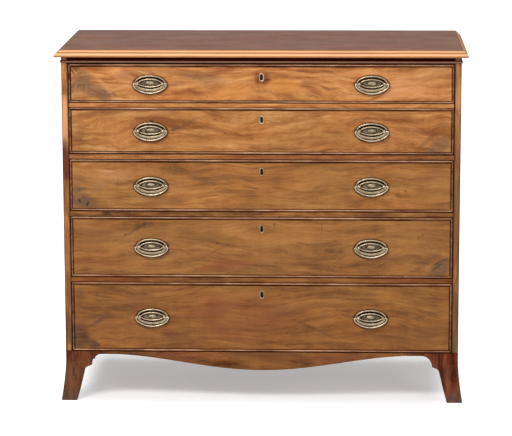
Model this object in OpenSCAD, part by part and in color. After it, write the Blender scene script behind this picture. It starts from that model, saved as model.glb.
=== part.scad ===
// Secretaire chest: a chest of long drawers whose top drawer has a fall front and a writing interior.
// Millimetres. +X is right, the front faces -Y, +Z is up, and the origin is on the floor below the middle.

/* [Top] */
// Width over the moulded edge of the top
top_w = 1225; // [1100:5:1350]
// Depth of the top, front to back
top_d = 550; // [530:5:620]
// Thickness of the top
top_t = 21; // [20:0.5:26]
// Height of the flat fillet at the foot of the edge moulding
edge_fillet = 4.5; // [3:0.5:6]
// Radius of each of the two rolls of the edge moulding
edge_roll = 6.5; // [4:0.5:6.5]
// Size of the small step between the rolls
edge_quirk = 0.9; // [0.5:0.1:1.5]
// How far the top stands out past the sides of the case
side_overhang = 19.5; // [12:0.5:35]
// How far the top stands out past the drawer fronts
front_overhang = 22; // [18:0.5:35]
// Radius of the half-round moulding under the top
astragal_r = 4; // [3:0.5:6]
// How far that moulding stands out from the case
astragal_out = 3.5; // [2:0.5:4]

/* [Case] */
// Thickness of the case sides
side_t = 20.5; // [18:0.5:26]
// Height of the rails between the drawers
rail_t = 16; // [14:0.5:22]
// Depth of those rails, front to back
rail_d = 60; // [45:5:90]
// Height of the rail under the top
top_rail_t = 19; // [16:0.5:28]
// Thickness of the dust boards
dust_t = 8; // [6:0.5:10]
// Thickness of the back boards
back_t = 10; // [8:0.5:14]
// Number of back boards
back_count = 4; // [2:1:6]
// Depth of the housings cut in the case sides
housing = 6; // [4:0.5:9]
// How far the housings stop short of the front
housing_stop = 14; // [10:1:30]
// Width of the strips that the drawers run on
runner_w = 30; // [25:1:45]
// Thickness of the bottom board
bottom_board_t = 16; // [12:0.5:20]
// Height of the blocks that stop the drawers
stop_h = 5; // [3:0.5:5.5]
// Width of those blocks
stop_w = 50; // [30:5:70]
// Distance of those blocks from the ends of the drawer fronts
stop_inset = 150; // [60:5:300]

/* [Drawer openings] */
// Height of the top of the base above the floor
base_h = 152.5; // [135:0.5:180]
// Height of the bottom drawer's opening
open_1 = 213.5; // [180:0.5:240]
// Height of the middle drawer's opening
open_2 = 185; // [160:0.5:220]
// Height of the upper long drawer's opening
open_3 = 157.5; // [150:0.5:200]
// Height of the secretaire drawer's opening
open_4 = 272; // [268:0.5:300]

/* [Base] */
// Thickness of the apron and the foot brackets
apron_t = 20; // [16:0.5:24]
// How far the feet splay outward at the floor
splay = 14; // [8:0.5:18]
// How far below the top of the base the splay starts
splay_top = 27.5; // [12:0.5:50]
// Width of a foot at the floor, measured from the line of the case
leg_floor_w = 33; // [25:1:42]
// Width of a foot at the top of its leg
leg_top_w = 57; // [50:1:60]
// Start of the small step above the leg, from the line of the case
step_in = 64; // [62:1:70]
// Height of the hollow from the top of the leg to that start
hollow_h = 9; // [6:0.5:12]
// End of the step, from the line of the case
step_out = 78; // [74:1:90]
// Rise of the step
step_h = 5.5; // [2:0.5:8]
// Radius of the arc from the step to the apron
bracket_r = 35; // [28:1:38]
// Height of the apron at its ends
apron_end_h = 10; // [8:0.5:16]
// How far the middle of the front apron hangs below its ends
apron_drop = 48; // [30:1:60]
// How far the middle of a side apron hangs below its ends
side_apron_drop = 16; // [0:1:30]

/* [Drawers] */
// Thickness of the drawer fronts
front_t = 22; // [20:0.5:26]
// Thickness of the drawer sides
drawer_side_t = 11; // [10:0.5:14]
// Thickness of the drawer backs
drawer_back_t = 11; // [9:0.5:14]
// Thickness of the drawer bottoms
drawer_bottom_t = 8; // [6:0.5:9]
// Height of a drawer bottom above what the drawer runs on
drawer_bottom_h = 8; // [7:0.5:12]
// Room behind the drawers
drawer_room = 28; // [18:1:60]
// Width of the bar that joins the two panels of a drawer bottom
muntin_w = 60; // [45:1:80]
// Gap at each end of a drawer front
gap_side = 1.3; // [1:0.1:2]
// Gap under a drawer front
gap_bottom = 1.3; // [1:0.1:2]
// Gap over a long drawer's front
gap_top = 2; // [1.5:0.1:3]
// Gap over the fall front
gap_fall = 3.5; // [2:0.1:4]
// Width of the cockbead as seen from the front
bead_w = 4.5; // [3:0.1:5]
// How far the cockbead stands proud of the front
bead_out = 2.5; // [2.3:0.1:4]
// Depth of the rebate that holds the cockbead
bead_in = 4; // [3:0.1:4.5]
// Width of the groove between the cockbead and the front
bead_quirk = 0.8; // [0.5:0.1:1.2]
// Number of dovetails at a corner of the bottom drawer, and in proportion on the others
tail_count = 5; // [3:1:7]
// Depth that the dovetails enter a drawer front
tail_len = 15; // [12:0.5:17]

/* [Handles] */
// Distance of each handle from the middle of the chest
handle_x = 329; // [250:1:400]
// Half the length of the oval back plate
plate_a = 47; // [45:0.5:48]
// Half the height of the oval back plate
plate_b = 24.5; // [20:0.5:26]
// Half the distance between the two posts
post_x = 37; // [36.5:0.5:38]
// Radius of a post's shank
post_r = 3; // [2.5:0.1:3.2]
// Radius of the ball that holds the end of the bail
ball_r = 5; // [4.5:0.1:5]
// Distance of the bail's axis in front of the drawer front
eye_out = 8.5; // [8.3:0.1:11]
// Half the width of the bail, to the middle of its wire
bail_a = 49; // [48.5:0.5:54]
// How far the middle of the bail hangs below its axis
bail_sag = 28.5; // [26:0.5:34]
// Radius of the bail's two rounded corners
bail_corner = 18; // [14:0.5:22]
// Radius of the bail's wire
bail_wire_r = 2.4; // [2:0.1:2.6]
// Radius of the pins at the bail's ends
bail_pin_r = 1.65; // [1.5:0.05:1.8]
// Radial clearance of those pins in the balls
bail_pin_gap = 0.08; // [0.05:0.01:0.1]

/* [Locks] */
// How far the keyholes stand right of the middle
key_x = 2; // [-5:0.5:5]
// Distance from the top of a drawer front down to the middle of its escutcheon
key_drop = 35.5; // [32:0.5:38]
// The same distance on the fall front
fall_key_drop = 38.5; // [36:0.5:41]
// Width of an escutcheon
esc_w = 15.6; // [13:0.2:18]
// Height of an escutcheon
esc_h = 25.8; // [22:0.2:28]
// Width of a lock case
lock_w = 60; // [50:1:80]
// Height of a lock case
lock_h = 54; // [52:1:60]
// Depth of a lock case
lock_d = 10; // [9:0.5:11]
// Width of a lock bolt
bolt_w = 22; // [16:1:30]
// Height of a lock bolt
bolt_h = 20; // [18:0.5:20]
// Thickness of a lock bolt
bolt_t = 5; // [4:0.5:6]
// How far a lock bolt rises
bolt_travel = 7; // [6:0.5:7.5]

/* [Secretaire] */
// Thickness of the fall front
fall_t = 24; // [23.5:0.5:27]
// Thickness of the lip that hides the front edge of the bed
lip_t = 6; // [5:0.5:6.5]
// Height of the upper false drawer front on the fall
false_upper_h = 114; // [100:0.5:125]
// Thickness of the secretaire drawer's sides
sec_side_t = 14; // [12:0.5:18]
// Thickness of the bed, whose top is the writing surface
bed_t = 14; // [12:0.5:15]
// Gap under the bed
bed_gap = 2; // [1.5:0.1:3]
// Middle radius of the quadrant stays
stay_r = 170; // [150:1:180]
// Width of the quadrant stays
stay_w = 16; // [12:0.5:18]
// Thickness of the quadrant stays
stay_t = 3; // [2:0.5:4]
// Length of a hinge
hinge_w = 70; // [50:1:90]
// Distance of the outer hinges from the middle
hinge_x = 420; // [300:5:480]
// Width of a hinge leaf
leaf_w = 24; // [18:1:28]
// Thickness of a hinge leaf
leaf_t = 2; // [1.5:0.1:2.4]
// Radius of a hinge knuckle
knuckle_r = 3.2; // [3:0.1:3.6]
// Thickness of the leather let into the fall
leather_t = 1.2; // [0.8:0.1:2]
// Distance of the leather from the ends of the fall
leather_end = 80; // [60:5:120]
// Distance of the leather from the turning line
leather_edge = 32; // [28:1:50]
// Gap between the leather and the lock
leather_gap = 1.5; // [1:0.5:20]

/* [Writing interior] */
// Clear depth of the writing surface in front of the small drawers
nest_y = 205; // [203:1:215]
// Room behind the fitted interior
nest_room = 22; // [10:1:40]
// Height of the fitted interior
nest_h = 213; // [190:1:230]
// Thickness of the outer boards of the interior
nest_t = 8; // [6:0.5:10]
// Thickness of the partitions
part_t = 5; // [4:0.5:7]
// Height of the small drawers' spaces
small_h = 62; // [50:1:75]
// Clear width of the middle cupboard
cupboard_w = 190; // [150:1:195]
// Number of pigeonholes on each side
hole_count = 4; // [2:1:5]
// Depth of the arched valance over a pigeonhole
valance_h = 24; // [18:1:32]
// Gap round a small drawer and the cupboard door
small_gap = 0.6; // [0.4:0.1:1]
// Room behind a small drawer
small_room = 10; // [4:1:40]
// Thickness of the cupboard door
door_t = 16; // [14:0.5:20]
// Radius of a knob
knob_r = 6; // [5:0.5:8]

/* [Hidden] */

$fn = 48;

// How far a cutting shape reaches past the face that it cuts
cut = 1;
// Hairline between boards that are glued or nailed together
joint_gap = 0.05;
// Gap between a board and the groove that holds it
groove_gap = 0.1;
// Gap under the drawer sides, and between parts that turn or slide past each other
run_gap = 0.3;
// Gap round a lock or an escutcheon in its recess
inlay_gap = 0.1;

// Drawer levels from the bottom up: the height of each opening and of the surface it stands on
BOTTOM = 0;
MIDDLE = 1;
UPPER = 2;
SECRETAIRE = 3;
open_h = [open_1, open_2, open_3, open_4];
floor_2 = base_h + open_1 + rail_t;
floor_3 = floor_2 + open_2 + rail_t;
floor_4 = floor_3 + open_3 + rail_t;
floor_h = [base_h, floor_2, floor_3, floor_4];

// Case
half_w = top_w / 2 - side_overhang;
half_open = half_w - side_t;
y_front = -top_d / 2 + front_overhang;
y_back = top_d / 2;
y_back_boards = y_back - back_t;
case_top = floor_z(SECRETAIRE) + open_4 + top_rail_t;
total_h = case_top + top_t;

// Base
splay_h = base_h - splay_top;
edge_z = base_h - apron_end_h;
step_out_h = edge_z - bracket_r;
step_in_h = step_out_h - step_h;
leg_top_h = step_in_h - hollow_h;

// Drawers: room over their sides, and how far their backs stay below the sides
side_clear = 6;
back_drop = 4;
front_half = half_open - gap_side;
drawer_inner = front_half - drawer_side_t;
y_drawer_back = y_back_boards - drawer_room;
y_front_inner = y_front + front_t;
y_back_inner = y_drawer_back - drawer_back_t;
front_groove = 6;
side_groove = 5;
muntin_groove = 8;
muntin_lip = 4;
bead_r = bead_w / 2;
bead_field = bead_w + bead_quirk;

// Locks
bolt_gap = 0.15;
keyhole_r = 2.6;
keyhole_slot = 3.2;
keyhole_len = 16;
esc_t = 1.5;
esc_out = 0.2;

// Handles: thickness of the plate, its rim, its inner oval and its boss, and their sizes
plate_t = 1.6;
rim_t = 3;
inner_t = 4;
boss_t = 3.5;
rim_w = 3.5;
inner_a = plate_a - 15;
inner_b = plate_b - 10.5;
boss_a = 9.5;
boss_b = 5;
nut_r = 6.5;
nut_t = 3;
blind_len = 16;
bail_side = bail_a - bail_corner;
bail_r = (bail_sag * bail_sag + bail_side * bail_side - bail_corner * bail_corner)
    / (2 * (bail_sag - bail_corner));
bail_half_angle = atan(bail_side / (bail_r - bail_sag));
bail_swell = 0.03;

// Secretaire drawer: the fall turns about the line where its inner face meets the writing surface
hinge_y = y_front + fall_t;
hinge_z = floor_z(SECRETAIRE) + bed_gap + bed_t;
fall_z0 = floor_z(SECRETAIRE) + gap_bottom;
fall_z1 = floor_z(SECRETAIRE) + open_4 - gap_fall;
false_upper_z0 = fall_z1 - false_upper_h;
false_lower_z1 = false_upper_z0 - rail_t;
fall_inner = hinge_y - run_gap;
sec_inner = front_half - sec_side_t;
sec_top = side_top(SECRETAIRE);
sec_back_top = sec_top - back_drop;
stay_x = sec_inner + joint_gap * 2;
stay_span = 93;
stay_foot_w = 20;
stay_foot_reach = 4;
knuckle_count = 5;
knuckle_gap = 0.2;
knuckle_clear = 0.4;
hinge_pin_r = 1.4;
hinge_pin_gap = 0.08;

// Writing interior
nest_half = sec_inner - 0.4;
nest_y0 = hinge_y + nest_y;
nest_y1 = y_back_inner - nest_room;
nest_back_t = 6;
small_len = nest_y1 - nest_back_t - small_room - nest_y0;
nest_floor_t = 6;
nest_z0 = hinge_z + nest_floor_t;
shelf_z = nest_z0 + small_h;
nest_z1 = hinge_z + nest_h - nest_t;
post_t = part_t + 1;
bay_x0 = cupboard_w / 2 + post_t;
bay_x1 = nest_half - nest_t;
bay_w = bay_x1 - bay_x0;
small_w = (bay_w - part_t) / 2;
door_half = cupboard_w / 2 - small_gap;
door_z0 = nest_z0 + small_gap;
door_z1 = nest_z1 - small_gap;
door_hinge_h = 30;
door_hinge_inset = 22;
door_knuckle_r = 2.2;
door_pin_r = 1;
door_leaf_w = 12;
door_leaf_t = 1;
hole_w = (bay_w - (hole_count - 1) * part_t) / hole_count;

// Height of the surface that a drawer runs on
function floor_z(level) = floor_h[level];
function rail_z(level) = floor_z(level) - rail_t;
function front_z0(level) = floor_z(level) + gap_bottom;
function front_z1(level) = floor_z(level) + open_h[level] - gap_top;
function middle(a, b) = (a + b) / 2;
function arc(cx, cy, r, from, to, steps) =
    [for (k = [0 : steps]) let (a = from + (to - from) * k / steps) [cx + r * cos(a), cy + r * sin(a)]];
function ellipse(a, b, steps) =
    [for (k = [0 : steps - 1]) let (t = 360 * k / steps) [a * cos(t), b * sin(t)]];

module board(x0, x1, y0, y1, z0, z1) {
    translate([x0, y0, z0])
        cube([x1 - x0, y1 - y0, z1 - z0]);
}

module both_sides() {
    children();
    mirror([1, 0, 0])
        children();
}

// Extrudes a shape drawn in Y and Z along X
module along_x(x0, x1) {
    translate([x0, 0, 0])
        rotate([90, 0, 90])
            linear_extrude(x1 - x0)
                children();
}

// Extrudes a shape drawn in X and Z along Y
module along_y(y0, y1) {
    translate([0, y1, 0])
        rotate([90, 0, 0])
            linear_extrude(y1 - y0)
                children();
}

module cylinder_y(x, y0, y1, z, r) {
    translate([x, y0, z])
        rotate([-90, 0, 0])
            cylinder(r = r, h = y1 - y0);
}

module cylinder_x(x0, x1, y, z, r) {
    translate([x0, y, z])
        rotate([0, 90, 0])
            cylinder(r = r, h = x1 - x0);
}

// Top

// Edge moulding from the underside up: fillet, roll, step, roll and a small upper fillet
function edge_profile() = concat(
    [[0, 0], [0, edge_fillet]],
    arc(edge_quirk + edge_roll, edge_fillet, edge_roll, 180, 90, 6),
    [[2 * edge_quirk + edge_roll, edge_fillet + edge_roll]],
    arc(2 * edge_quirk + 2 * edge_roll, edge_fillet + edge_roll + edge_quirk, edge_roll, 180, 90, 6),
    [[3 * edge_quirk + 2 * edge_roll, edge_fillet + 2 * edge_roll + edge_quirk],
     [3 * edge_quirk + 2 * edge_roll, top_t]]
);

module top_front_section() {
    polygon(concat(
        [for (p = edge_profile()) [-top_d / 2 + p[0], case_top + p[1]]],
        [[y_back, total_h], [y_back, case_top]]
    ));
}

module top_side_section() {
    profile = edge_profile();
    last = len(profile) - 1;
    polygon(concat(
        [for (p = profile) [-top_w / 2 + p[0], case_top + p[1]]],
        [for (k = [last : -1 : 0]) [top_w / 2 - profile[k][0], case_top + profile[k][1]]]
    ));
}

module top_board() {
    color("sienna")
        intersection() {
            along_x(-top_w / 2, top_w / 2)
                top_front_section();
            along_y(-top_d / 2, y_back)
                top_side_section();
        }
}

// Half-round moulding that runs round the front and sides under the top, mitred at the corners
module top_moulding() {
    z = floor_z(SECRETAIRE) + open_4 + astragal_r;
    inset = astragal_r - astragal_out;
    reach = astragal_r + cut;
    color("saddlebrown") {
        intersection() {
            cylinder_x(-half_w - reach, half_w + reach, y_front + inset, z, astragal_r);
            translate([0, 0, z - reach])
                linear_extrude(2 * reach)
                    polygon([[-half_w + joint_gap, y_front], [half_w - joint_gap, y_front],
                             [half_w + reach - joint_gap, y_front - reach],
                             [-half_w - reach + joint_gap, y_front - reach]]);
        }
        both_sides()
            intersection() {
                cylinder_y(half_w - inset, y_front - reach, y_back, z, astragal_r);
                translate([0, 0, z - reach])
                    linear_extrude(2 * reach)
                        polygon([[half_w, y_front], [half_w, y_back], [half_w + reach, y_back],
                                 [half_w + reach, y_front - reach]]);
            }
    }
}

// Case

module carcase_sides() {
    color("peru")
        both_sides()
            difference() {
                board(half_open, half_w, y_front, y_back, base_h, case_top);
                board(half_open - cut, half_open + housing, y_back_boards, y_back + cut,
                      base_h - cut, case_top + cut);
                for (level = [MIDDLE : SECRETAIRE])
                    board(half_open - cut, half_open + housing, y_front + housing_stop, y_back_boards + cut,
                          rail_z(level), rail_z(level) + rail_t);
            }
}

// Slot in the underside of a rail that takes the bolt of the lock below it
module bolt_mortise(y_inner, z) {
    y = bolt_y(y_inner);
    board(key_x - bolt_w / 2 - cut, key_x + bolt_w / 2 + cut, y - cut, y + bolt_t + cut,
          z - cut, z + bolt_travel + cut);
}

module drawer_rails() {
    color("peru") {
        for (level = [MIDDLE : SECRETAIRE])
            difference() {
                union() {
                    board(-half_open, half_open, y_front, y_front + rail_d,
                          rail_z(level), rail_z(level) + rail_t);
                    board(-half_open - housing, half_open + housing, y_front + housing_stop,
                          y_front + rail_d, rail_z(level), rail_z(level) + rail_t);
                }
                bolt_mortise(y_front_inner, rail_z(level));
            }
        difference() {
            board(-half_open, half_open, y_front, y_front + rail_d, case_top - top_rail_t, case_top);
            bolt_mortise(fall_inner, case_top - top_rail_t);
        }
        board(-half_open, half_open, y_back_boards - rail_d, y_back_boards,
              case_top - top_rail_t, case_top);
    }
}

module dustboards() {
    color("burlywood")
        for (level = [MIDDLE : SECRETAIRE])
            board(-half_open - housing, half_open + housing, y_front + rail_d, y_back_boards,
                  rail_z(level), rail_z(level) + dust_t);
}

// Strips that the drawers run on, with the blocks that stop the drawers
module drawer_runners() {
    color("tan")
        both_sides() {
            for (level = [MIDDLE : SECRETAIRE])
                board(half_open - runner_w, half_open + housing, y_front + rail_d, y_back_boards,
                      rail_z(level) + dust_t, rail_z(level) + rail_t);
            drawer_stops();
        }
}

module bottom_board() {
    color("burlywood")
        board(-half_w + apron_t, half_w - apron_t, y_front + apron_t, y_back - apron_t,
              base_h - bottom_board_t, base_h);
}

module back_boards() {
    pitch = (case_top - base_h) / back_count;
    color("tan")
        for (k = [0 : back_count - 1])
            board(-half_open - housing, half_open + housing, y_back_boards, y_back,
                  base_h + k * pitch + joint_gap, base_h + (k + 1) * pitch - joint_gap);
}

// Blocks on the rails behind the drawer fronts, and an upright one behind the secretaire drawer
module drawer_stops() {
    stop_x = front_half - stop_inset;
    short_of_edge = 4;
    upright_h = 20;
    for (level = [BOTTOM : UPPER])
        board(stop_x - stop_w, stop_x, y_front_inner + run_gap, y_front + rail_d - short_of_edge,
              floor_z(level), floor_z(level) + stop_h);
    board(front_half - runner_w, sec_inner, y_drawer_back + run_gap,
          y_back_boards - short_of_edge, floor_z(SECRETAIRE) + joint_gap,
          floor_z(SECRETAIRE) + upright_h);
}

// Base

// How far the outside of a foot stands out at height z
splay_power = 1.5;
function flare(z) = z < splay_h ? splay * pow(1 - z / splay_h, splay_power) : 0;
function flare_line(scale_by) =
    [for (k = [0 : 12]) let (z = splay_h * k / 12) [-scale_by * flare(z), z]];
bracket_w = step_out + bracket_r;

// Inner edge of the leg, from its top down to the floor, slightly bowed
leg_steps = 5;
leg_power = 0.92;
function leg_line() =
    [for (k = [leg_steps : -1 : 0]) let (t = k / leg_steps)
        [leg_floor_w + (leg_top_w - leg_floor_w) * pow(t, leg_power), leg_top_h * t]];

// Face of a foot: across from the line of the case, and height
hollow = 1;
function foot_face(scale_by) = concat(
    flare_line(scale_by),
    [[0, base_h], [bracket_w, base_h]],
    arc(bracket_w, step_out_h, bracket_r, 90, 180, 8),
    [[step_in, step_in_h],
     [middle(step_in, leg_top_w) - hollow, middle(step_in_h, leg_top_h) + hollow]],
    leg_line()
);

// Section through a bracket: flared outside and upright inside
module bracket_section(scale_by) {
    polygon(concat(flare_line(scale_by), [[0, base_h], [apron_t, base_h], [apron_t, 0]]));
}

// One foot with its corner at the origin and its two brackets along +X and +Y.
// The bracket along X lies at the front or back, and splays by face_scale.
module foot(face_scale) {
    intersection() {
        along_y(-2 * splay, apron_t)
            polygon(foot_face(1));
        along_x(-2 * splay, bracket_w)
            bracket_section(face_scale);
    }
    intersection() {
        along_x(-2 * splay, apron_t)
            polygon(foot_face(face_scale));
        along_y(-2 * splay, bracket_w)
            bracket_section(1);
    }
}

module front_feet() {
    color("sienna")
        both_sides()
            translate([-half_w, y_front, 0])
                foot(1);
}

module back_feet() {
    color("sienna")
        both_sides()
            translate([-half_w, y_back, 0])
                mirror([0, 1, 0])
                    foot(0);
}

// Apron between two feet: half its length, and the drop of its middle
module apron_face(half, drop) {
    steps = 36;
    polygon(concat(
        [for (k = [0 : steps]) let (t = -1 + 2 * k / steps)
            [half * t, edge_z - drop * (1 + cos(180 * t)) / 2]],
        [[half, base_h], [-half, base_h]]
    ));
}

module front_apron() {
    color("sienna")
        along_y(y_front, y_front + apron_t)
            apron_face(half_w - bracket_w - joint_gap, apron_drop);
}

module side_back_aprons() {
    half_side = (y_back - y_front) / 2 - bracket_w - joint_gap;
    color("sienna") {
        both_sides()
            translate([0, middle(y_front, y_back), 0])
                along_x(half_w - apron_t, half_w)
                    apron_face(half_side, side_apron_drop);
        along_y(y_back - apron_t, y_back)
            apron_face(half_w - bracket_w - joint_gap, 0);
    }
}

// Glue blocks inside the feet and behind the front apron
module foot_blocks() {
    block = 24;
    leg_block_h = 88.5;
    long_block = 80;
    spacing = 150;
    high = base_h - bottom_board_t;
    low = high - leg_block_h;
    inside = half_w - apron_t;
    color("tan") {
        both_sides() {
            board(inside - block, inside, y_front + apron_t, y_front + apron_t + block, low, high);
            board(inside - block, inside, y_back - apron_t - block, y_back - apron_t, low, high);
        }
        for (x = [-spacing, 0, spacing])
            board(x - long_block / 2, x + long_block / 2, y_front + apron_t, y_front + apron_t + block,
                  high - block, high);
    }
}

// Drawer parts

// One strip of cockbead along +X with a rounded nose and mitred ends
module bead_strip(length) {
    nose = bead_r - bead_out;
    intersection() {
        union() {
            translate([0, nose, 0])
                cube([length, bead_in - nose, bead_w]);
            cylinder_x(0, length, nose, bead_r, bead_r);
        }
        along_y(-bead_out - cut, bead_in + cut)
            polygon([[joint_gap, 0], [length - joint_gap, 0], [length - bead_w - joint_gap, bead_w],
                     [bead_w + joint_gap, bead_w]]);
    }
}

// Four mitred strips round a front that reaches from z0 to z1
module bead_frame(z0, z1) {
    translate([-front_half, y_front, z0])
        bead_strip(2 * front_half);
    translate([front_half, y_front, z1])
        rotate([0, 180, 0])
            bead_strip(2 * front_half);
    translate([-front_half, y_front, z1])
        rotate([0, 90, 0])
            bead_strip(z1 - z0);
    translate([front_half, y_front, z0])
        rotate([0, -90, 0])
            bead_strip(z1 - z0);
}

// Rebate for those strips and the groove beside them
module bead_rebate(z0, z1) {
    difference() {
        board(-front_half - cut, front_half + cut, y_front - cut, y_front + bead_in, z0 - cut, z1 + cut);
        board(-front_half + bead_field, front_half - bead_field, y_front - 2 * cut,
              y_front + bead_in + cut, z0 + bead_field, z1 - bead_field);
    }
}

// Dovetails spread from z0 to z1, from y_root to y_tip, on a board from x0 to x1
root_share = 0.28;
tip_share = 0.38;
module tails(x0, x1, y_root, y_tip, z0, z1, gap) {
    count = max(2, round(tail_count * (z1 - z0) / open_1));
    pitch = (z1 - z0) / count;
    along_x(x0, x1)
        for (k = [0 : count - 1])
            translate([0, z0 + (k + 0.5) * pitch])
                polygon([[y_root, -pitch * root_share + gap], [y_root, pitch * root_share - gap],
                         [y_tip, pitch * tip_share - gap], [y_tip, -pitch * tip_share + gap]]);
}

function side_top(level) = floor_z(level) + open_h[level] - side_clear;
function panel_z(level) = floor_z(level) + drawer_bottom_h;
function tail_z0(level) = panel_z(level) + drawer_bottom_t + groove_gap;

// Tails at both ends of a drawer side, and the sockets that take them
module corner_tails(level) {
    tail_pair(level, drawer_inner, joint_gap);
}

module corner_sockets(level) {
    tail_pair(level, drawer_inner - joint_gap, 0);
}

module tail_pair(level, x0, gap) {
    z0 = tail_z0(level);
    z1 = side_top(level) - back_drop;
    tails(x0, front_half, y_front_inner + 2 * gap, y_front_inner - tail_len + gap, z0, z1, gap);
    tails(x0, front_half, y_back_inner - 2 * gap, y_drawer_back, z0, z1, gap);
}

// Keyhole with its round end up, seen from the front
module keyhole(y0, y1, z) {
    top = z + keyhole_len / 2 - keyhole_r;
    cylinder_y(key_x, y0, y1, top, keyhole_r);
    board(key_x - keyhole_slot / 2, key_x + keyhole_slot / 2, y0, y1, z - keyhole_len / 2, top);
}

// Upright slab with round ends
module escutcheon_shape(y0, y1, z, grow) {
    r = esc_w / 2 + grow;
    rise = (esc_h - esc_w) / 2;
    cylinder_y(key_x, y0, y1, z + rise, r);
    cylinder_y(key_x, y0, y1, z - rise, r);
    board(key_x - r, key_x + r, y0, y1, z - rise, z + rise);
}

module escutcheon(z) {
    difference() {
        escutcheon_shape(y_front - esc_out, y_front + esc_t - esc_out, z, 0);
        keyhole(y_front - cut, y_front + esc_t + cut, z);
    }
}

function bolt_y(y_inner) = y_inner - lock_d / 2 - bolt_t / 2;

module lock_case(y_inner, z_top, key_z) {
    y = bolt_y(y_inner);
    difference() {
        board(key_x - lock_w / 2, key_x + lock_w / 2, y_inner - lock_d, y_inner, z_top - lock_h, z_top);
        board(key_x - bolt_w / 2 - bolt_gap, key_x + bolt_w / 2 + bolt_gap, y - bolt_gap,
              y + bolt_t + bolt_gap, z_top - bolt_h - 2 * bolt_gap, z_top + cut);
        keyhole(y_inner - lock_d - cut, y_inner - 2, key_z);
    }
}

module lock_recess(y_inner, z_top, key_z) {
    grow = inlay_gap;
    board(key_x - lock_w / 2 - grow, key_x + lock_w / 2 + grow, y_inner - lock_d - grow,
          y_inner + cut, z_top - lock_h - grow, z_top + cut);
    keyhole(y_front - cut, y_inner - lock_d, key_z);
    escutcheon_shape(y_front - cut, y_front + esc_t - esc_out + inlay_gap, key_z, inlay_gap);
}

module bolt(y_inner, z_top) {
    y = bolt_y(y_inner);
    color("goldenrod")
        board(key_x - bolt_w / 2, key_x + bolt_w / 2, y, y + bolt_t,
              z_top - bolt_h - bolt_gap, z_top - bolt_gap);
}

// Handles

module plate_ring(a, b, thick) {
    along_y(y_front - thick, y_front)
        difference() {
            polygon(ellipse(a, b, 48));
            polygon(ellipse(a - rim_w, b - rim_w, 48));
        }
}

// Oval back plate round (0, 0): thin body, rolled rim, raised inner oval and boss
module back_plate() {
    difference() {
        union() {
            along_y(y_front - plate_t, y_front)
                polygon(ellipse(plate_a, plate_b, 48));
            plate_ring(plate_a, plate_b, rim_t);
            plate_ring(inner_a, inner_b, inner_t);
            along_y(y_front - boss_t, y_front)
                polygon(ellipse(boss_a, boss_b, 32));
        }
        both_sides()
            cylinder_y(post_x, y_front - 2 * eye_out, y_front + cut, 0, post_r + inlay_gap);
    }
}

// Post with the ball that holds the bail, reaching back to y_end
module handle_post(y_end) {
    y_eye = y_front - eye_out;
    difference() {
        translate([post_x, y_eye, 0])
            rotate([-90, 45, 0])
                rotate_extrude() {
                    intersection() {
                        circle(r = ball_r);
                        translate([0, -ball_r])
                            square([ball_r, 2 * ball_r]);
                    }
                    square([post_r, y_end - y_eye]);
                }
        cylinder_x(post_x - 2 * ball_r, post_x + 2 * ball_r, y_eye, 0, bail_pin_r + bail_pin_gap);
    }
}

module nut(y) {
    translate([post_x, y, 0])
        rotate([-90, 0, 0])
            difference() {
                cylinder(r = nut_r, h = nut_t, $fn = 6);
                translate([0, 0, -cut])
                    cylinder(r = post_r + joint_gap, h = nut_t + 2 * cut);
            }
}

module handle_holes(x, z, depth) {
    translate([x, 0, z])
        both_sides()
            cylinder_y(post_x, y_front - cut, y_front + depth, 0, post_r + inlay_gap);
}

// Plate and posts of one handle, bolted through a front or screwed into a thick one
module handle_fixed(x, z, through) {
    y_end = through ? y_front_inner + nut_t + 1 : y_front + blind_len - cut;
    translate([x, 0, z]) {
        back_plate();
        both_sides() {
            handle_post(y_end);
            if (through)
                nut(y_front_inner);
        }
    }
}

// Wire of the bail bent round the Y axis to a radius, through an angle from a direction
module bail_bend(radius, from, angle) {
    rotate([90, 0, 0])
        rotate([0, 0, from])
            rotate_extrude(angle = angle)
                translate([radius, 0])
                    circle(r = bail_wire_r);
}

// Bail with its two pins, hanging from its axis: a long bow between two rounded corners,
// with a slight swell where the bends meet
module bail(x, z) {
    pin_end = post_x - ball_r + cut;
    color("goldenrod")
        translate([x, y_front - eye_out, z]) {
            translate([0, 0, bail_r - bail_sag])
                bail_bend(bail_r, -90 - bail_half_angle, 2 * bail_half_angle);
            both_sides() {
                translate([bail_side, 0, 0])
                    bail_bend(bail_corner, -90 + bail_half_angle, 90 - bail_half_angle);
                translate([bail_side + bail_corner * sin(bail_half_angle), 0,
                           -bail_corner * cos(bail_half_angle)])
                    sphere(r = bail_wire_r + bail_swell);
                translate([bail_a, 0, 0])
                    sphere(r = bail_wire_r);
                cylinder_x(pin_end, bail_a, 0, 0, bail_pin_r);
            }
        }
}

// Long drawers

function front_middle(level) = middle(front_z0(level), front_z1(level));

module drawer_front(level) {
    z0 = front_z0(level);
    z1 = front_z1(level);
    color("peru")
        difference() {
            board(-front_half, front_half, y_front, y_front_inner, z0, z1);
            bead_rebate(z0, z1);
            board(-drawer_inner - side_groove, drawer_inner + side_groove, y_front_inner - front_groove,
                  y_front_inner + cut, panel_z(level) - groove_gap,
                  panel_z(level) + drawer_bottom_t + groove_gap);
            both_sides()
                corner_sockets(level);
            for (x = [-handle_x, handle_x])
                handle_holes(x, front_middle(level), 2 * front_t);
            lock_recess(y_front_inner, z1, z1 - key_drop);
        }
}

module drawer_cockbeads(level) {
    color("saddlebrown")
        bead_frame(front_z0(level), front_z1(level));
}

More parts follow.
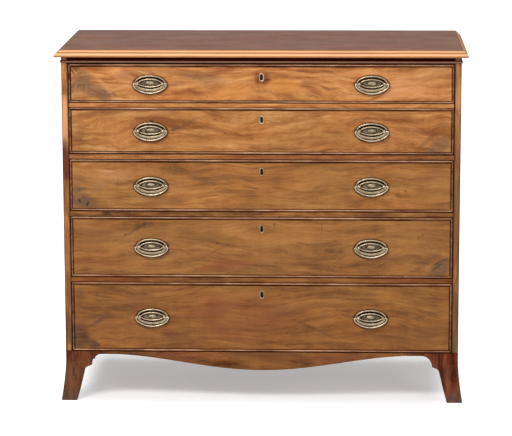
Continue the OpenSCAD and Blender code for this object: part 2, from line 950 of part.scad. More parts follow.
module drawer_sides(level) {
    color("wheat") {
        both_sides()
            difference() {
                union() {
                    board(drawer_inner, front_half, y_front_inner + joint_gap, y_back_inner - joint_gap,
                          floor_z(level) + run_gap, side_top(level));
                    corner_tails(level);
                }
                board(drawer_inner - cut, drawer_inner + side_groove + groove_gap, y_front_inner - cut,
                      y_drawer_back + cut, panel_z(level) - groove_gap,
                      panel_z(level) + drawer_bottom_t + groove_gap);
            }
        difference() {
            board(-front_half, front_half, y_back_inner, y_drawer_back,
                  panel_z(level) + drawer_bottom_t + groove_gap, side_top(level) - back_drop);
            both_sides()
                corner_sockets(level);
        }
    }
}

// Two panels and the bar between them
module drawer_bottom(level) {
    z = panel_z(level);
    color("wheat") {
        both_sides()
            board(muntin_w / 2 - muntin_groove + groove_gap, drawer_inner + side_groove,
                  y_front_inner - front_groove + groove_gap, y_drawer_back, z, z + drawer_bottom_t);
        difference() {
            board(-muntin_w / 2, muntin_w / 2, y_front_inner + joint_gap, y_back_inner - joint_gap,
                  z - muntin_lip, z + drawer_bottom_t + muntin_lip);
            both_sides()
                board(muntin_w / 2 - muntin_groove, muntin_w / 2 + cut, y_front_inner - cut,
                      y_drawer_back, z - groove_gap, z + drawer_bottom_t + groove_gap);
        }
    }
}

module drawer_fittings(level) {
    z1 = front_z1(level);
    color("goldenrod") {
        for (x = [-handle_x, handle_x])
            handle_fixed(x, front_middle(level), true);
        lock_case(y_front_inner, z1, z1 - key_drop);
        escutcheon(z1 - key_drop);
    }
}

// Secretaire drawer

// Ring sector round the hinge line, from just before the fall's plane to below the bed
module stay_sector(r0, r1, from, to, x0, x1) {
    translate([x1, hinge_y, hinge_z])
        rotate([0, -90, 0])
            rotate([0, 0, from])
                rotate_extrude(angle = to - from)
                    translate([r0, 0])
                        square([r1 - r0, x1 - x0]);
}

module secretaire_sides() {
    y0 = hinge_y + run_gap;
    y1 = y_drawer_back - drawer_back_t - joint_gap;
    color("peru")
        both_sides()
            difference() {
                union() {
                    board(sec_inner, front_half, y0, y1, floor_z(SECRETAIRE) + run_gap, sec_top);
                    tails(sec_inner, front_half, y1 - joint_gap, y_drawer_back, hinge_z, sec_back_top,
                          joint_gap);
                }
                stay_sector(stay_r - stay_w / 2 - run_gap, stay_r + stay_w / 2 + run_gap, -2,
                            stay_span + 2, sec_inner - cut, stay_x + stay_t + run_gap);
            }
}

module secretaire_back() {
    y0 = y_drawer_back - drawer_back_t;
    color("wheat")
        difference() {
            board(-front_half, front_half, y0, y_drawer_back, floor_z(SECRETAIRE) + bed_gap, sec_back_top);
            both_sides()
                tails(sec_inner - joint_gap, front_half, y0, y_drawer_back, hinge_z, sec_back_top, 0);
        }
}

module hinge_places() {
    for (x = [-hinge_x, 0, hinge_x])
        translate([x, hinge_y, hinge_z])
            children();
}

// Room for the knuckles at the turning line
module knuckle_room() {
    cylinder_x(-hinge_w / 2 - run_gap, hinge_w / 2 + run_gap, 0, 0, knuckle_r + knuckle_clear);
}

module secretaire_bed() {
    color("peru")
        difference() {
            board(-sec_inner + joint_gap, sec_inner - joint_gap, hinge_y + run_gap,
                  y_drawer_back - drawer_back_t - joint_gap, hinge_z - bed_t, hinge_z);
            hinge_places() {
                knuckle_room();
                board(-hinge_w / 2 - inlay_gap, hinge_w / 2 + inlay_gap, 0, leaf_w + inlay_gap,
                      -leaf_t - inlay_gap, cut);
            }
        }
}

// Ends of knuckle number k of a hinge, counted from its left end
function knuckle_x0(k) = hinge_w * (k / knuckle_count - 0.5) + knuckle_gap / 2;
function knuckle_x1(k) = hinge_w * ((k + 1) / knuckle_count - 0.5) - knuckle_gap / 2;

module knuckle(k) {
    cylinder_x(knuckle_x0(k), knuckle_x1(k), 0, 0, knuckle_r);
}

// Joins a leaf that reaches from z0 to z1 to its knuckle
module knuckle_web(k, z0, z1) {
    board(knuckle_x0(k), knuckle_x1(k), 0, knuckle_r + 2 * knuckle_clear, z0, z1);
}

// Leaf that lies in the bed and holds the pin
module bed_leaf() {
    board(-hinge_w / 2, hinge_w / 2, knuckle_r + knuckle_clear, leaf_w, -leaf_t, 0);
    for (k = [0 : 2 : knuckle_count - 1]) {
        knuckle(k);
        knuckle_web(k, -leaf_t, 0);
    }
    cylinder_x(-hinge_w / 2 + cut, hinge_w / 2 - cut, 0, 0, hinge_pin_r);
}

// Leaves fixed to the writing desk: those of the fall and those of the cupboard door
module desk_hinge_leaves() {
    color("goldenrod") {
        hinge_places()
            bed_leaf();
        door_hinge_places() {
            door_leaf(-small_gap / 2 - door_leaf_t, [0, 2]);
            translate([0, 0, cut])
                cylinder(r = door_pin_r, h = door_hinge_h - 2 * cut);
        }
    }
}

// Leaf that lies in the fall: the same leaf turned up about the line
module fall_leaf() {
    difference() {
        translate([0, -run_gap, 0])
            rotate([90, 0, 0])
                board(-hinge_w / 2, hinge_w / 2, knuckle_r + knuckle_clear, leaf_w, 0, leaf_t);
        cylinder_x(-hinge_w, hinge_w, 0, 0, knuckle_r + knuckle_clear / 2);
    }
    difference() {
        for (k = [1 : 2 : knuckle_count - 2]) {
            knuckle(k);
            translate([0, -run_gap, 0])
                rotate([90, 0, 0])
                    knuckle_web(k, 0, leaf_t);
        }
        cylinder_x(-hinge_w, hinge_w, 0, 0, hinge_pin_r + hinge_pin_gap);
    }
}

module fall_hinge_leaves() {
    color("goldenrod")
        hinge_places()
            fall_leaf();
}

// Fall front

function fall_handle_z() = [middle(fall_z0, false_lower_z1), middle(false_upper_z0, fall_z1)];

// Foot of a quadrant stay, let into the inner face of the fall, which it passes by reach
module stay_foot(grow, reach) {
    half = stay_w + stay_foot_reach;
    board(stay_x + stay_t - stay_foot_w - grow, stay_x + stay_t + grow, fall_inner - stay_t - grow,
          fall_inner + reach, hinge_z + stay_r - half - grow, hinge_z + stay_r + half + grow);
}

leather_half = front_half - leather_end;

module leather_sheet(grow, depth) {
    board(-leather_half - grow, leather_half + grow, fall_inner - depth, fall_inner + grow,
          hinge_z + leather_edge - grow, fall_z1 - lock_h - leather_gap + grow);
}

module fall_panel() {
    color("peru")
        difference() {
            union() {
                board(-front_half, front_half, y_front, fall_inner, hinge_z + run_gap, fall_z1);
                board(-front_half, front_half, y_front, y_front + lip_t, fall_z0, fall_z1);
            }
            bead_rebate(fall_z0, false_lower_z1);
            bead_rebate(false_upper_z0, fall_z1);
            hinge_places() {
                knuckle_room();
                board(-hinge_w / 2 - inlay_gap, hinge_w / 2 + inlay_gap, -leaf_t - run_gap - inlay_gap,
                      cut, 0, leaf_w + inlay_gap);
            }
            leather_sheet(inlay_gap, leather_t);
            both_sides()
                stay_foot(inlay_gap, cut);
            for (x = [-handle_x, handle_x])
                for (z = fall_handle_z())
                    handle_holes(x, z, blind_len);
            lock_recess(fall_inner, fall_z1, fall_z1 - fall_key_drop);
            escutcheon_shape(y_front - cut, y_front + esc_t - esc_out + inlay_gap,
                             false_lower_z1 - key_drop, inlay_gap);
        }
}

module fall_cockbeads() {
    color("saddlebrown") {
        bead_frame(fall_z0, false_lower_z1);
        bead_frame(false_upper_z0, fall_z1);
    }
}

module fall_leather() {
    color("darkgreen")
        leather_sheet(0, leather_t - joint_gap);
}

module fall_fittings() {
    color("goldenrod") {
        for (x = [-handle_x, handle_x])
            for (z = fall_handle_z())
                handle_fixed(x, z, false);
        lock_case(fall_inner, fall_z1, fall_z1 - fall_key_drop);
        escutcheon(fall_z1 - fall_key_drop);
        escutcheon(false_lower_z1 - key_drop);
    }
}

// Brass quadrants: a foot let into the fall, and a ring sector that slides in the drawer side
module quadrant_stays() {
    color("goldenrod")
        both_sides() {
            stay_foot(0, 0);
            stay_sector(stay_r - stay_w / 2, stay_r + stay_w / 2, 0, stay_span, stay_x, stay_x + stay_t);
            board(stay_x, stay_x + stay_t, fall_inner - stay_t, hinge_y + run_gap,
                  hinge_z + stay_r - stay_w / 2, hinge_z + stay_r + stay_w / 2);
        }
}

// Writing interior

module nest_case() {
    color("peru")
        difference() {
            board(-nest_half, nest_half, nest_y0, nest_y1, hinge_z, hinge_z + nest_h);
            board(-nest_half + nest_t, nest_half - nest_t, nest_y0 - cut, nest_y1 - nest_back_t,
                  nest_z0, nest_z1);
        }
}

// Arched strip at the top of one pigeonhole, from x0 to x1
module valance(x0, x1) {
    crown = 8;
    y0 = nest_y0 + 3;
    rise = valance_h - crown;
    w = x1 - x0;
    r = (w * w / 4 + rise * rise) / (2 * rise);
    difference() {
        board(x0, x1, y0, y0 + part_t, nest_z1 - valance_h, nest_z1 - joint_gap);
        cylinder_y(middle(x0, x1), y0 - cut, y0 + part_t + cut, nest_z1 - crown - r, r);
    }
}

// Start of pigeonhole number k, counted outward from the cupboard
function hole_x(k) = bay_x0 + k * (hole_w + part_t);

module nest_partitions() {
    y0 = nest_y0 + 1;
    y1 = nest_y1 - nest_back_t - joint_gap;
    color("peru") {
        difference() {
            both_sides()
                board(cupboard_w / 2, bay_x0, y0, y1, nest_z0 + joint_gap, nest_z1 - joint_gap);
            door_hinge_places()
                door_hinge_room();
        }
        both_sides() {
            board(bay_x0, bay_x1 - joint_gap, y0, y1, shelf_z, shelf_z + part_t);
            board(bay_x0 + small_w, bay_x0 + small_w + part_t, y0, y1, nest_z0 + joint_gap, shelf_z);
            for (k = [1 : hole_count - 1])
                board(hole_x(k) - part_t, hole_x(k), y0, y1, shelf_z + part_t, nest_z1 - joint_gap);
            for (k = [0 : hole_count - 1])
                valance(hole_x(k), hole_x(k) + hole_w);
        }
    }
}

// Turned knob whose foot is at (x, nest_y0, z)
module knob(x, z) {
    foot_r = knob_r * 0.7;
    neck_r = knob_r * 0.6;
    neck_y = 6;
    translate([x, nest_y0, z])
        rotate([90, 0, 0])
            rotate_extrude()
                polygon(concat(
                    [[0, 0], [foot_r, 0], [foot_r, neck_y / 4], [neck_r, neck_y / 2]],
                    arc(0, neck_y + knob_r * 0.8, knob_r, -acos(neck_r / knob_r), 90, 8)
                ));
}

// Small drawer with its left edge at x0
module small_drawer(x0) {
    wall = 6;
    face = 9;
    base = 4;
    low = nest_z0 + small_gap / 2;
    high = shelf_z - small_gap;
    left = x0 + small_gap;
    right = x0 + small_w - small_gap;
    color("peru") {
        difference() {
            board(left, right, nest_y0, nest_y0 + small_len, low, high);
            board(left + wall, right - wall, nest_y0 + face, nest_y0 + small_len - wall,
                  low + base, high + cut);
        }
        knob(middle(left, right), middle(low, high));
    }
}

// Framed door with a raised panel
module nest_door() {
    stile = 28;
    field = stile + 8;
    sunk = 4;
    raised = 3;
    color("peru") {
        difference() {
            board(-door_half, door_half, nest_y0, nest_y0 + door_t, door_z0, door_z1);
            difference() {
                board(-door_half + stile, door_half - stile, nest_y0 - cut, nest_y0 + sunk,
                      door_z0 + stile, door_z1 - stile);
                board(-door_half + field, door_half - field, nest_y0 + sunk - raised,
                      nest_y0 + sunk + cut, door_z0 + field, door_z1 - field);
            }
            door_hinge_places()
                door_hinge_room();
        }
        knob(door_half - stile / 2, middle(door_z0, door_z1));
    }
}

// Foot of the pin of each hinge, in the middle of the gap at the door's left edge
module door_hinge_places() {
    for (z = [door_z0 + door_hinge_inset, door_z1 - door_hinge_inset - door_hinge_h])
        translate([-door_half - small_gap / 2, nest_y0, z])
            children();
}

// Recesses for the knuckles and for both leaves
module door_hinge_room() {
    half = small_gap / 2 + door_leaf_t + inlay_gap;
    board(-half, half, -cut, door_leaf_w + inlay_gap, -inlay_gap, door_hinge_h + inlay_gap);
    translate([0, 0, -run_gap])
        cylinder(r = door_knuckle_r + knuckle_clear, h = door_hinge_h + 2 * run_gap);
}

// Leaf that starts at x0 from the pin, with its knuckles of three
module door_leaf(x0, knuckles) {
    pitch = door_hinge_h / 3;
    board(x0, x0 + door_leaf_t, door_knuckle_r + knuckle_clear, door_leaf_w, 0, door_hinge_h);
    for (k = knuckles)
        translate([0, 0, k * pitch + knuckle_gap / 2]) {
            cylinder(r = door_knuckle_r, h = pitch - knuckle_gap);
            board(x0, x0 + door_leaf_t, 0, door_knuckle_r + 2 * knuckle_clear, 0, pitch - knuckle_gap);
        }
}

// Leaves that turn with the cupboard door
module nest_door_hinge_leaves() {
    color("goldenrod")
        door_hinge_places()
            difference() {
                door_leaf(small_gap / 2, [1]);
                translate([0, 0, -cut])
                    cylinder(r = door_pin_r + hinge_pin_gap, h = door_hinge_h + 2 * cut);
            }
}

// Every piece by its name

top_board();
top_moulding();
carcase_sides();
drawer_rails();
dustboards();
drawer_runners();
bottom_board();
back_boards();
front_apron();
side_back_aprons();
front_feet();
back_feet();
foot_blocks();

secretaire_sides();
secretaire_back();
secretaire_bed();
nest_case();
nest_partitions();
small_drawer(-bay_x1);  // nest_drawer_1
small_drawer(-bay_x0 - small_w);  // nest_drawer_2
small_drawer(bay_x0);  // nest_drawer_3
small_drawer(bay_x1 - small_w);  // nest_drawer_4
nest_door();
nest_door_hinge_leaves();
desk_hinge_leaves();

fall_panel();
fall_cockbeads();
fall_leather();
fall_fittings();
bolt(fall_inner, fall_z1);  // fall_lock_bolt
quadrant_stays();
fall_hinge_leaves();
bail(-handle_x, fall_handle_z()[1]);  // fall_bail_upper_left
bail(handle_x, fall_handle_z()[1]);  // fall_bail_upper_right
bail(-handle_x, fall_handle_z()[0]);  // fall_bail_lower_left
bail(handle_x, fall_handle_z()[0]);  // fall_bail_lower_right

drawer_front(UPPER);  // upper_drawer_front
drawer_cockbeads(UPPER);  // upper_drawer_cockbeads
drawer_sides(UPPER);  // upper_drawer_sides
drawer_bottom(UPPER);  // upper_drawer_bottom
drawer_fittings(UPPER);  // upper_drawer_fittings
bail(-handle_x, front_middle(UPPER));  // upper_drawer_bail_left
bail(handle_x, front_middle(UPPER));  // upper_drawer_bail_right
bolt(y_front_inner, front_z1(UPPER));  // upper_drawer_lock_bolt

drawer_front(MIDDLE);  // middle_drawer_front
drawer_cockbeads(MIDDLE);  // middle_drawer_cockbeads
drawer_sides(MIDDLE);  // middle_drawer_sides
drawer_bottom(MIDDLE);  // middle_drawer_bottom
drawer_fittings(MIDDLE);  // middle_drawer_fittings
bail(-handle_x, front_middle(MIDDLE));  // middle_drawer_bail_left
bail(handle_x, front_middle(MIDDLE));  // middle_drawer_bail_right
bolt(y_front_inner, front_z1(MIDDLE));  // middle_drawer_lock_bolt

drawer_front(BOTTOM);  // bottom_drawer_front
drawer_cockbeads(BOTTOM);  // bottom_drawer_cockbeads
drawer_sides(BOTTOM);  // bottom_drawer_sides
drawer_bottom(BOTTOM);  // bottom_drawer_bottom
drawer_fittings(BOTTOM);  // bottom_drawer_fittings
bail(-handle_x, front_middle(BOTTOM));  // bottom_drawer_bail_left
bail(handle_x, front_middle(BOTTOM));  // bottom_drawer_bail_right
bolt(y_front_inner, front_z1(BOTTOM));  // bottom_drawer_lock_bolt
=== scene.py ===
"""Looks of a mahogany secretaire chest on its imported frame, with stage, lights and camera."""

import math
from functools import partialmethod

import bmesh
import bpy
from mathutils import Matrix, Vector


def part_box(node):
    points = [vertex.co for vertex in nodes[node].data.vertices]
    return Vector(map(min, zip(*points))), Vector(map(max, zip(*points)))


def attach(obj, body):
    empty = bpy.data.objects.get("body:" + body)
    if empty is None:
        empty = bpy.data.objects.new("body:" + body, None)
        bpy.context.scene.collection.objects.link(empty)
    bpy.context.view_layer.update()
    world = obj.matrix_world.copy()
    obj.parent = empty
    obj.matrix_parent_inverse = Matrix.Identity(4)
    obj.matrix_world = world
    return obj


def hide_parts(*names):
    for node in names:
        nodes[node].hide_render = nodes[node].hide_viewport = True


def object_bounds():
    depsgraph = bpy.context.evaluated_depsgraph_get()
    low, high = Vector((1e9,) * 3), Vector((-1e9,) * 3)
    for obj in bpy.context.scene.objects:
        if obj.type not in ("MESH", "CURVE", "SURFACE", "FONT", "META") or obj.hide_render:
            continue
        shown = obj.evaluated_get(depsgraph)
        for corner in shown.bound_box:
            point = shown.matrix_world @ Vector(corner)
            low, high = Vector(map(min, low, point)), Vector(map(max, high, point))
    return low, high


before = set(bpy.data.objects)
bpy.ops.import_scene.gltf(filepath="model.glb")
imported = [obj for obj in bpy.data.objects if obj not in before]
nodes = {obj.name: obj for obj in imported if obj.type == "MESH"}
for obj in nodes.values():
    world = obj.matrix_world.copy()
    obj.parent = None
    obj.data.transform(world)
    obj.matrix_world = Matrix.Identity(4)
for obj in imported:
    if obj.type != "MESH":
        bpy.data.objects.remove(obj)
cad_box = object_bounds()
MM = 0.001
# Y of the plane of the drawer fronts and rails, in metres
CASE_FRONT = -0.253
DRAWERS = ("upper", "middle", "bottom")


# Camera

def make_camera():
    """Camera at the photograph's place: metres, degrees, and a lens in mm on a 36 mm wide sensor."""
    place = Vector((0.2645, -7.4622, 1.9226))
    yaw, pitch, roll = 2.2224, 10.6724, -0.1473
    data = bpy.data.cameras.new("camera")
    data.sensor_width = 36
    data.lens = 172.58
    data.clip_end = 200
    camera = bpy.data.objects.new("camera", data)
    bpy.context.scene.collection.objects.link(camera)
    camera.matrix_world = (
        Matrix.Translation(place)
        @ Matrix.Rotation(math.radians(yaw), 4, "Z")
        @ Matrix.Rotation(math.radians(90 - pitch), 4, "X")
        @ Matrix.Rotation(math.radians(roll), 4, "Z")
    )
    bpy.context.scene.camera = camera


make_camera()


# Material nodes

def srgb(r, g, b):
    """Scene-linear colour of an 8-bit display colour."""
    def linear(c):
        c /= 255
        return c / 12.92 if c <= 0.04045 else ((c + 0.055) / 1.055) ** 2.4
    return (linear(r), linear(g), linear(b), 1.0)


def shade(colour, by):
    """Colour made darker or lighter."""
    return tuple(min(1.0, c * by) for c in colour[:3]) + (1.0,)


class Net:
    """The node tree of a material or a world. Most calls add a node and return one of its outputs."""

    def __init__(self, owner, shader="Principled BSDF"):
        owner.use_nodes = True
        self.owner = owner
        self.tree = owner.node_tree
        self.shader = self.tree.nodes[shader]

    def feed(self, node, inputs):
        """Links or sets inputs of a node."""
        for key, value in inputs.items():
            if isinstance(value, bpy.types.NodeSocket):
                self.tree.links.new(value, node.inputs[key])
            else:
                node.inputs[key].default_value = value

    def make(self, kind, inputs=(), out=0, **settings):
        node = self.tree.nodes.new(kind)
        for key, value in settings.items():
            setattr(node, key, value)
        self.feed(node, dict(inputs))
        return node.outputs[out]

    def calculate(self, kind, a, b=0.0):
        return self.make("ShaderNodeMath", {0: a, 1: b}, operation=kind)

    plus = partialmethod(calculate, "ADD")
    minus = partialmethod(calculate, "SUBTRACT")
    times = partialmethod(calculate, "MULTIPLY")
    over = partialmethod(calculate, "DIVIDE")
    most = partialmethod(calculate, "MAXIMUM")
    least = partialmethod(calculate, "MINIMUM")
    above = partialmethod(calculate, "GREATER_THAN")
    below = partialmethod(calculate, "LESS_THAN")
    size = partialmethod(calculate, "ABSOLUTE")

    def vector(self, kind, a, b=(0, 0, 0), out=0):
        return self.make("ShaderNodeVectorMath", {0: a, 1: b}, out=out, operation=kind)

    def place(self):
        return self.make("ShaderNodeTexCoord", out=3)

    def split(self, vector):
        return self.make("ShaderNodeSeparateXYZ", {0: vector}).node.outputs[:3]

    def join(self, x, y, z):
        return self.make("ShaderNodeCombineXYZ", {0: x, 1: y, 2: z})

    def noise(self, vector, scale, detail=3, rough=0.6, colour=False):
        """Noise with one scale, or one for each axis, in cycles a metre."""
        where = self.vector("MULTIPLY", vector, scale if isinstance(scale, tuple) else (scale,) * 3)
        inputs = {"Vector": where, "Scale": 1.0, "Detail": detail, "Roughness": rough}
        return self.make("ShaderNodeTexNoise", inputs, out=1 if colour else 0)

    def span(self, value, low, high, to_low=0.0, to_high=1.0, smooth=True):
        return self.make("ShaderNodeMapRange", {0: value, 1: low, 2: high, 3: to_low, 4: to_high},
                         interpolation_type="SMOOTHSTEP" if smooth else "LINEAR")

    def ramp(self, factor, stops):
        node = self.make("ShaderNodeValToRGB", {0: factor}).node
        elements = node.color_ramp.elements
        while len(elements) < len(stops):
            elements.new(0.5)
        for element, (position, colour) in zip(elements, stops):
            element.position = position
            element.color = colour
        return node.outputs[0]

    def mix(self, factor, a, b, kind="MIX"):
        inputs = {0: factor, 6: a, 7: b}
        return self.make("ShaderNodeMix", inputs, out=2, data_type="RGBA", blend_type=kind)

    def tinted(self, colour, by, where=1.0):
        """Colour multiplied by three factors where the last input is 1."""
        return self.mix(where, colour, (*by, 1), "MULTIPLY")

    def within(self, value, low, high):
        return self.times(self.above(value, low), self.below(value, high))

    def ellipse(self, place, x, z, half_x, half_z, turn=0.0, ragged=0.5, seed=0.0):
        """Factor that is 1 inside a ragged ellipse on a front, in mm and degrees."""
        flat = self.vector("MULTIPLY", place, (1, 0, 1))
        middle, sizes = (x * MM, 0, z * MM), (half_x * MM, 1, half_z * MM)
        turned = (0, math.radians(turn), 0)
        local = self.make("ShaderNodeMapping", {0: flat, 1: middle, 2: turned, 3: sizes},
                          vector_type="TEXTURE")
        distance = self.vector("LENGTH", local, out=1)
        torn = self.noise(self.vector("ADD", place, (seed,) * 3), (14, 14, 34), 4, 0.6)
        torn = self.times(self.minus(torn, 0.5), ragged * 2)
        return self.span(self.plus(distance, torn), 1.45, 0.55)

    def soft_edge(self, radius):
        """Bevelled normal, and how far it leaves the true one: 1 on an edge."""
        bevel = self.make("ShaderNodeBevel", {"Radius": radius}, samples=4)
        flat = self.make("ShaderNodeNewGeometry", out=1)
        along = self.vector("DOT_PRODUCT", bevel, flat, out=1)
        return bevel, self.span(along, 0.995, 0.85)


def islands(node):
    """The closed solids of a CAD node, each as (points, faces)."""
    mesh = bmesh.new()
    mesh.from_mesh(nodes[node].data)
    bmesh.ops.remove_doubles(mesh, verts=mesh.verts, dist=1e-6)
    left = set(mesh.verts)
    found = []
    while left:
        seed = left.pop()
        group, queue = [seed], [seed]
        while queue:
            for edge in queue.pop().link_edges:
                for vert in edge.verts:
                    if vert in left:
                        left.remove(vert)
                        group.append(vert)
                        queue.append(vert)
        group.sort(key=lambda v: v.index)
        number = {v: k for k, v in enumerate(group)}
        faces = sorted((f for f in mesh.faces if f.verts[0] in number), key=lambda f: f.index)
        found.append(([tuple(v.co) for v in group], [tuple(number[v] for v in f.verts) for f in faces]))
    mesh.free()
    return found


# Woods

def figured(net, grain, tones, swoop, streak, figure):
    """Colour of the plain wood, and what later steps use: its bent grain, threads, fine lines and pores."""
    dark, mid, light = tones
    sway = net.noise(grain, (2.3, 5.5, 5.5), 3, 0.5, colour=True)
    sway = net.vector("MULTIPLY", net.vector("SUBTRACT", sway, (0.5, 0.5, 0.5)),
                      (0, 0.14 * swoop, 0.03 * swoop))
    bent = net.vector("ADD", grain, sway)

    bands = net.noise(bent, (6.5, 46, 46), 8, 0.72)
    broad = net.noise(bent, (3.6, 11, 11), 5, 0.65)
    fine = net.noise(bent, (9, 330, 330))
    ripple = net.noise(bent, (34, 8, 8))
    pores = net.noise(bent, (46, 1500, 1500), 1, 0.5)
    tint = net.noise(grain, (3.2, 9, 9))

    level = net.plus(net.times(bands, 0.64 * figure), net.times(broad, 0.26 * figure))
    level = net.plus(level, net.times(ripple, 0.10 * figure))
    level = net.plus(level, 0.5 - 0.5 * figure)
    colour = net.ramp(level, [(0.41, dark), (0.5, mid), (0.59, light)])
    colour = net.tinted(colour, (1.06, 0.95, 0.88), net.span(tint, 0.35, 0.65))
    dull = net.span(net.noise(grain, (2.1, 12, 12)), 0.56, 0.74, 0, 0.8)
    colour = net.tinted(colour, (0.93, 0.98, 0.84), dull)
    threads = net.noise(bent, (2.2, 85, 85), 4, 0.62)
    colour = net.mix(net.span(threads, 0.54, 0.70, 0, streak), colour, shade(dark, 0.6))
    grouped = net.span(net.noise(grain, (3.0, 14, 14), 2, 0.5), 0.46, 0.62)
    dashes = net.span(net.noise(bent, (13, 150, 150)), 0.57, 0.68, 0, streak * 1.6)
    colour = net.mix(net.times(grouped, dashes), colour, shade(dark, 0.55))
    flecks = net.span(net.noise(bent, (70, 150, 150), 2, 0.5), 0.69, 0.75, 0, streak * 1.5)
    colour = net.mix(flecks, colour, shade(dark, 0.3))
    colour = net.mix(net.span(fine, 0.3, 0.7, 0.16, 0.0), colour, shade(dark, 0.5))
    dots = net.span(pores, 0.62, 0.74, 0, 0.45)
    colour = net.mix(dots, colour, shade(dark, 0.3))
    return colour, bent, threads, fine, dots


def front_dirt_and_shade(net, place, colour, fronts):
    """Dirt with painted shade in the groove inside the cockbead of each field, widest under the upper bead
    where its shadow falls, and painted shade in the keyholes.
    """
    x, y, z = net.split(place)
    for low, high in fronts:
        aside = net.minus(fall_high.x, net.size(x))
        above, below = net.minus(high, z), net.minus(z, low)
        inside = net.above(net.least(aside, net.least(above, below)), 0)
        dirt_and_shade = 0.0
        # Widest under the upper bead: painted shadow of the bead, with dirt
        for inset, wide in ((above, 0.0052), (aside, 0.0032), (below, 0.0016)):
            line = net.span(inset, BEAD_FIELD + wide * 0.55, BEAD_FIELD + wide, 1, 0)
            dirt_and_shade = net.most(dirt_and_shade, line)
        packed = net.span(net.noise(place, 5), 0.35, 0.6, 0.7, 1.0)
        colour = net.mix(net.times(net.times(dirt_and_shade, inside), packed), colour, GROOVE_DIRT_AND_SHADE)
    # Painted shade inside the keyhole, behind the face
    inner = net.within(y, CASE_FRONT + KEY_SLOT_NEAR, CASE_FRONT + KEY_SLOT_FAR)
    near_key = net.below(net.size(net.minus(x, KEY_X)), KEY_SLOT_HALF)
    return net.mix(net.times(inner, near_key), colour, KEYHOLE_SHADE)


def plate_dirt_and_shadow(net, x, z, height, threads):
    """Factor of the old polish round the plates of two handles, with painted shadow below the plates and
    under the bails.
    """
    across = net.over(net.minus(net.size(x), HANDLE_X), HALO_X)
    down = net.over(net.minus(z, height - HALO_DROP), HALO_Z)
    distance = net.vector("LENGTH", net.join(across, 0, down), out=1)
    distance = net.plus(distance, net.times(net.minus(threads, 0.5), 0.12))
    return net.span(distance, 1.15, 1.02, 0, 0.85)


def wood(name, dark, mid, light, along="X", seed=0.0, swoop=1.0, tilt=0.0, streak=0.35, patches=(),
         zones=(), rough=0.42, gloss=0.25, edge_wear_and_highlight=0.25, figure=1.0, finish=None, fronts=(), plates=()):
    """Old mahogany, or another board, with its grain along one axis.

    dark, mid, light: display colours of the figure.
    patches: (x, z, half_x, half_z, turn, colour, strength) ragged ellipses on a front, in mm and degrees.
    zones: (low z, high z, colour factors) of boards or rails that have their own tone, or of painted shade.
    finish: called with the net and the colour so far, returns the colour.
    fronts: (low z, high z) of each cockbeaded field, for the dirt and painted shade in the groove inside the
    bead.
    plates: heights of the handles' axes, for the old polish and painted shadow round their plates."""
    dark, mid, light = srgb(*dark), srgb(*mid), srgb(*light)
    net = Net(bpy.data.materials.new(name))
    place = net.place()
    x, y, z = net.split(place)
    u, v, w = {"X": (x, z, y), "Y": (y, z, x), "Z": (z, x, y)}[along]
    if tilt:
        v = net.plus(v, net.times(u, tilt))
    outer = net.below(y, CASE_FRONT + FACE_DEPTH) if fronts else 1.0
    for low, *_ in zones:
        u = net.plus(u, net.times(net.times(net.above(z, low), outer), 3.7))
    grain = net.vector("ADD", net.join(u, v, w), (seed * 1.7, seed, seed * 0.6))

    colour, bent, threads, fine, dots = figured(net, grain, (dark, mid, light), swoop, streak, figure)
    for k, (*mark, tone, strength) in enumerate(patches):
        inside = net.times(net.ellipse(place, *mark, seed=seed + k), outer)
        lines = net.span(net.noise(bent, (9, 70, 70), 5, 0.65), 0.36, 0.62, strength, strength * 0.55)
        colour = net.mix(net.times(inside, lines), colour, tone)
    for low, high, tone in zones:
        colour = net.tinted(colour, tone, net.times(net.within(z, low, high), outer))

    if fronts:
        colour = front_dirt_and_shade(net, place, colour, fronts)
    # Old polish with painted shadow round the handles' plates
    for height in plates:
        colour = net.mix(net.times(plate_dirt_and_shadow(net, x, z, height, threads), outer), colour, GROOVE_DIRT_AND_SHADE)

    # Lighter edges: wear, with painted highlight where the edges catch the light
    bevel, edge = net.soft_edge(0.0016)
    rubbed = net.noise(place, 60)
    edge = net.times(edge, net.span(rubbed, 0.38, 0.62, 0.2, 1.0))
    colour = net.mix(net.times(edge, edge_wear_and_highlight), colour, shade(light, 1.15))
    if finish:
        colour = finish(net, place, colour)

    smear = net.noise(place, (9, 9, 13), 4, 0.6)
    roughness = net.plus(net.span(smear, 0.3, 0.7, rough - 0.06, rough + 0.09, smooth=False),
                         net.times(dots, 0.25))
    height = net.minus(net.times(fine, 0.5), dots)
    bump = net.make("ShaderNodeBump", {"Strength": 0.22, "Distance": 0.0004, "Height": height,
                                       "Normal": bevel})
    clean = net.make("ShaderNodeRGBToBW", {"Color": colour})
    shine = net.span(clean, 0.005, 0.07, gloss * 0.08, gloss)
    roughness = net.plus(roughness, net.span(clean, 0.005, 0.07, 0.3, 0.0))
    net.feed(net.shader, {"Base Color": colour, "Roughness": roughness, "Normal": bump,
                          "Specular IOR Level": shine})
    return net.owner


def dress(name, material):
    """Puts a material on every slot of a CAD node."""
    data = nodes[name].data
    if not data.materials:
        data.materials.append(material)
    for k in range(len(data.materials)):
        data.materials[k] = material


# Metres: width of the cockbead round a front, X of a handle's middle and of the keyholes, half the width of
# the case's openings, how far behind the faces their stains and painted shade reach
BEAD_FIELD = 0.0053
HANDLE_X = 0.329
KEY_X = 0.002
HALF_OPEN = 0.5725
FACE_DEPTH = 0.004
# Metres: half length and half height of the old polish and painted shadow round a handle's plate, and how
# far it hangs
HALO_X, HALO_Z, HALO_DROP = 0.0495, 0.0288, 0.0042
# Metres: where the painted shade in a keyhole begins and ends behind the faces, and half its width
KEY_SLOT_NEAR, KEY_SLOT_FAR, KEY_SLOT_HALF = 0.0009, 0.017, 0.0085
# Colour factors of a dark joint between two boards, and of painted shade along the edges of the fall's false
# rail
SEAM_AND_SHADE = (0.12, 0.08, 0.06)
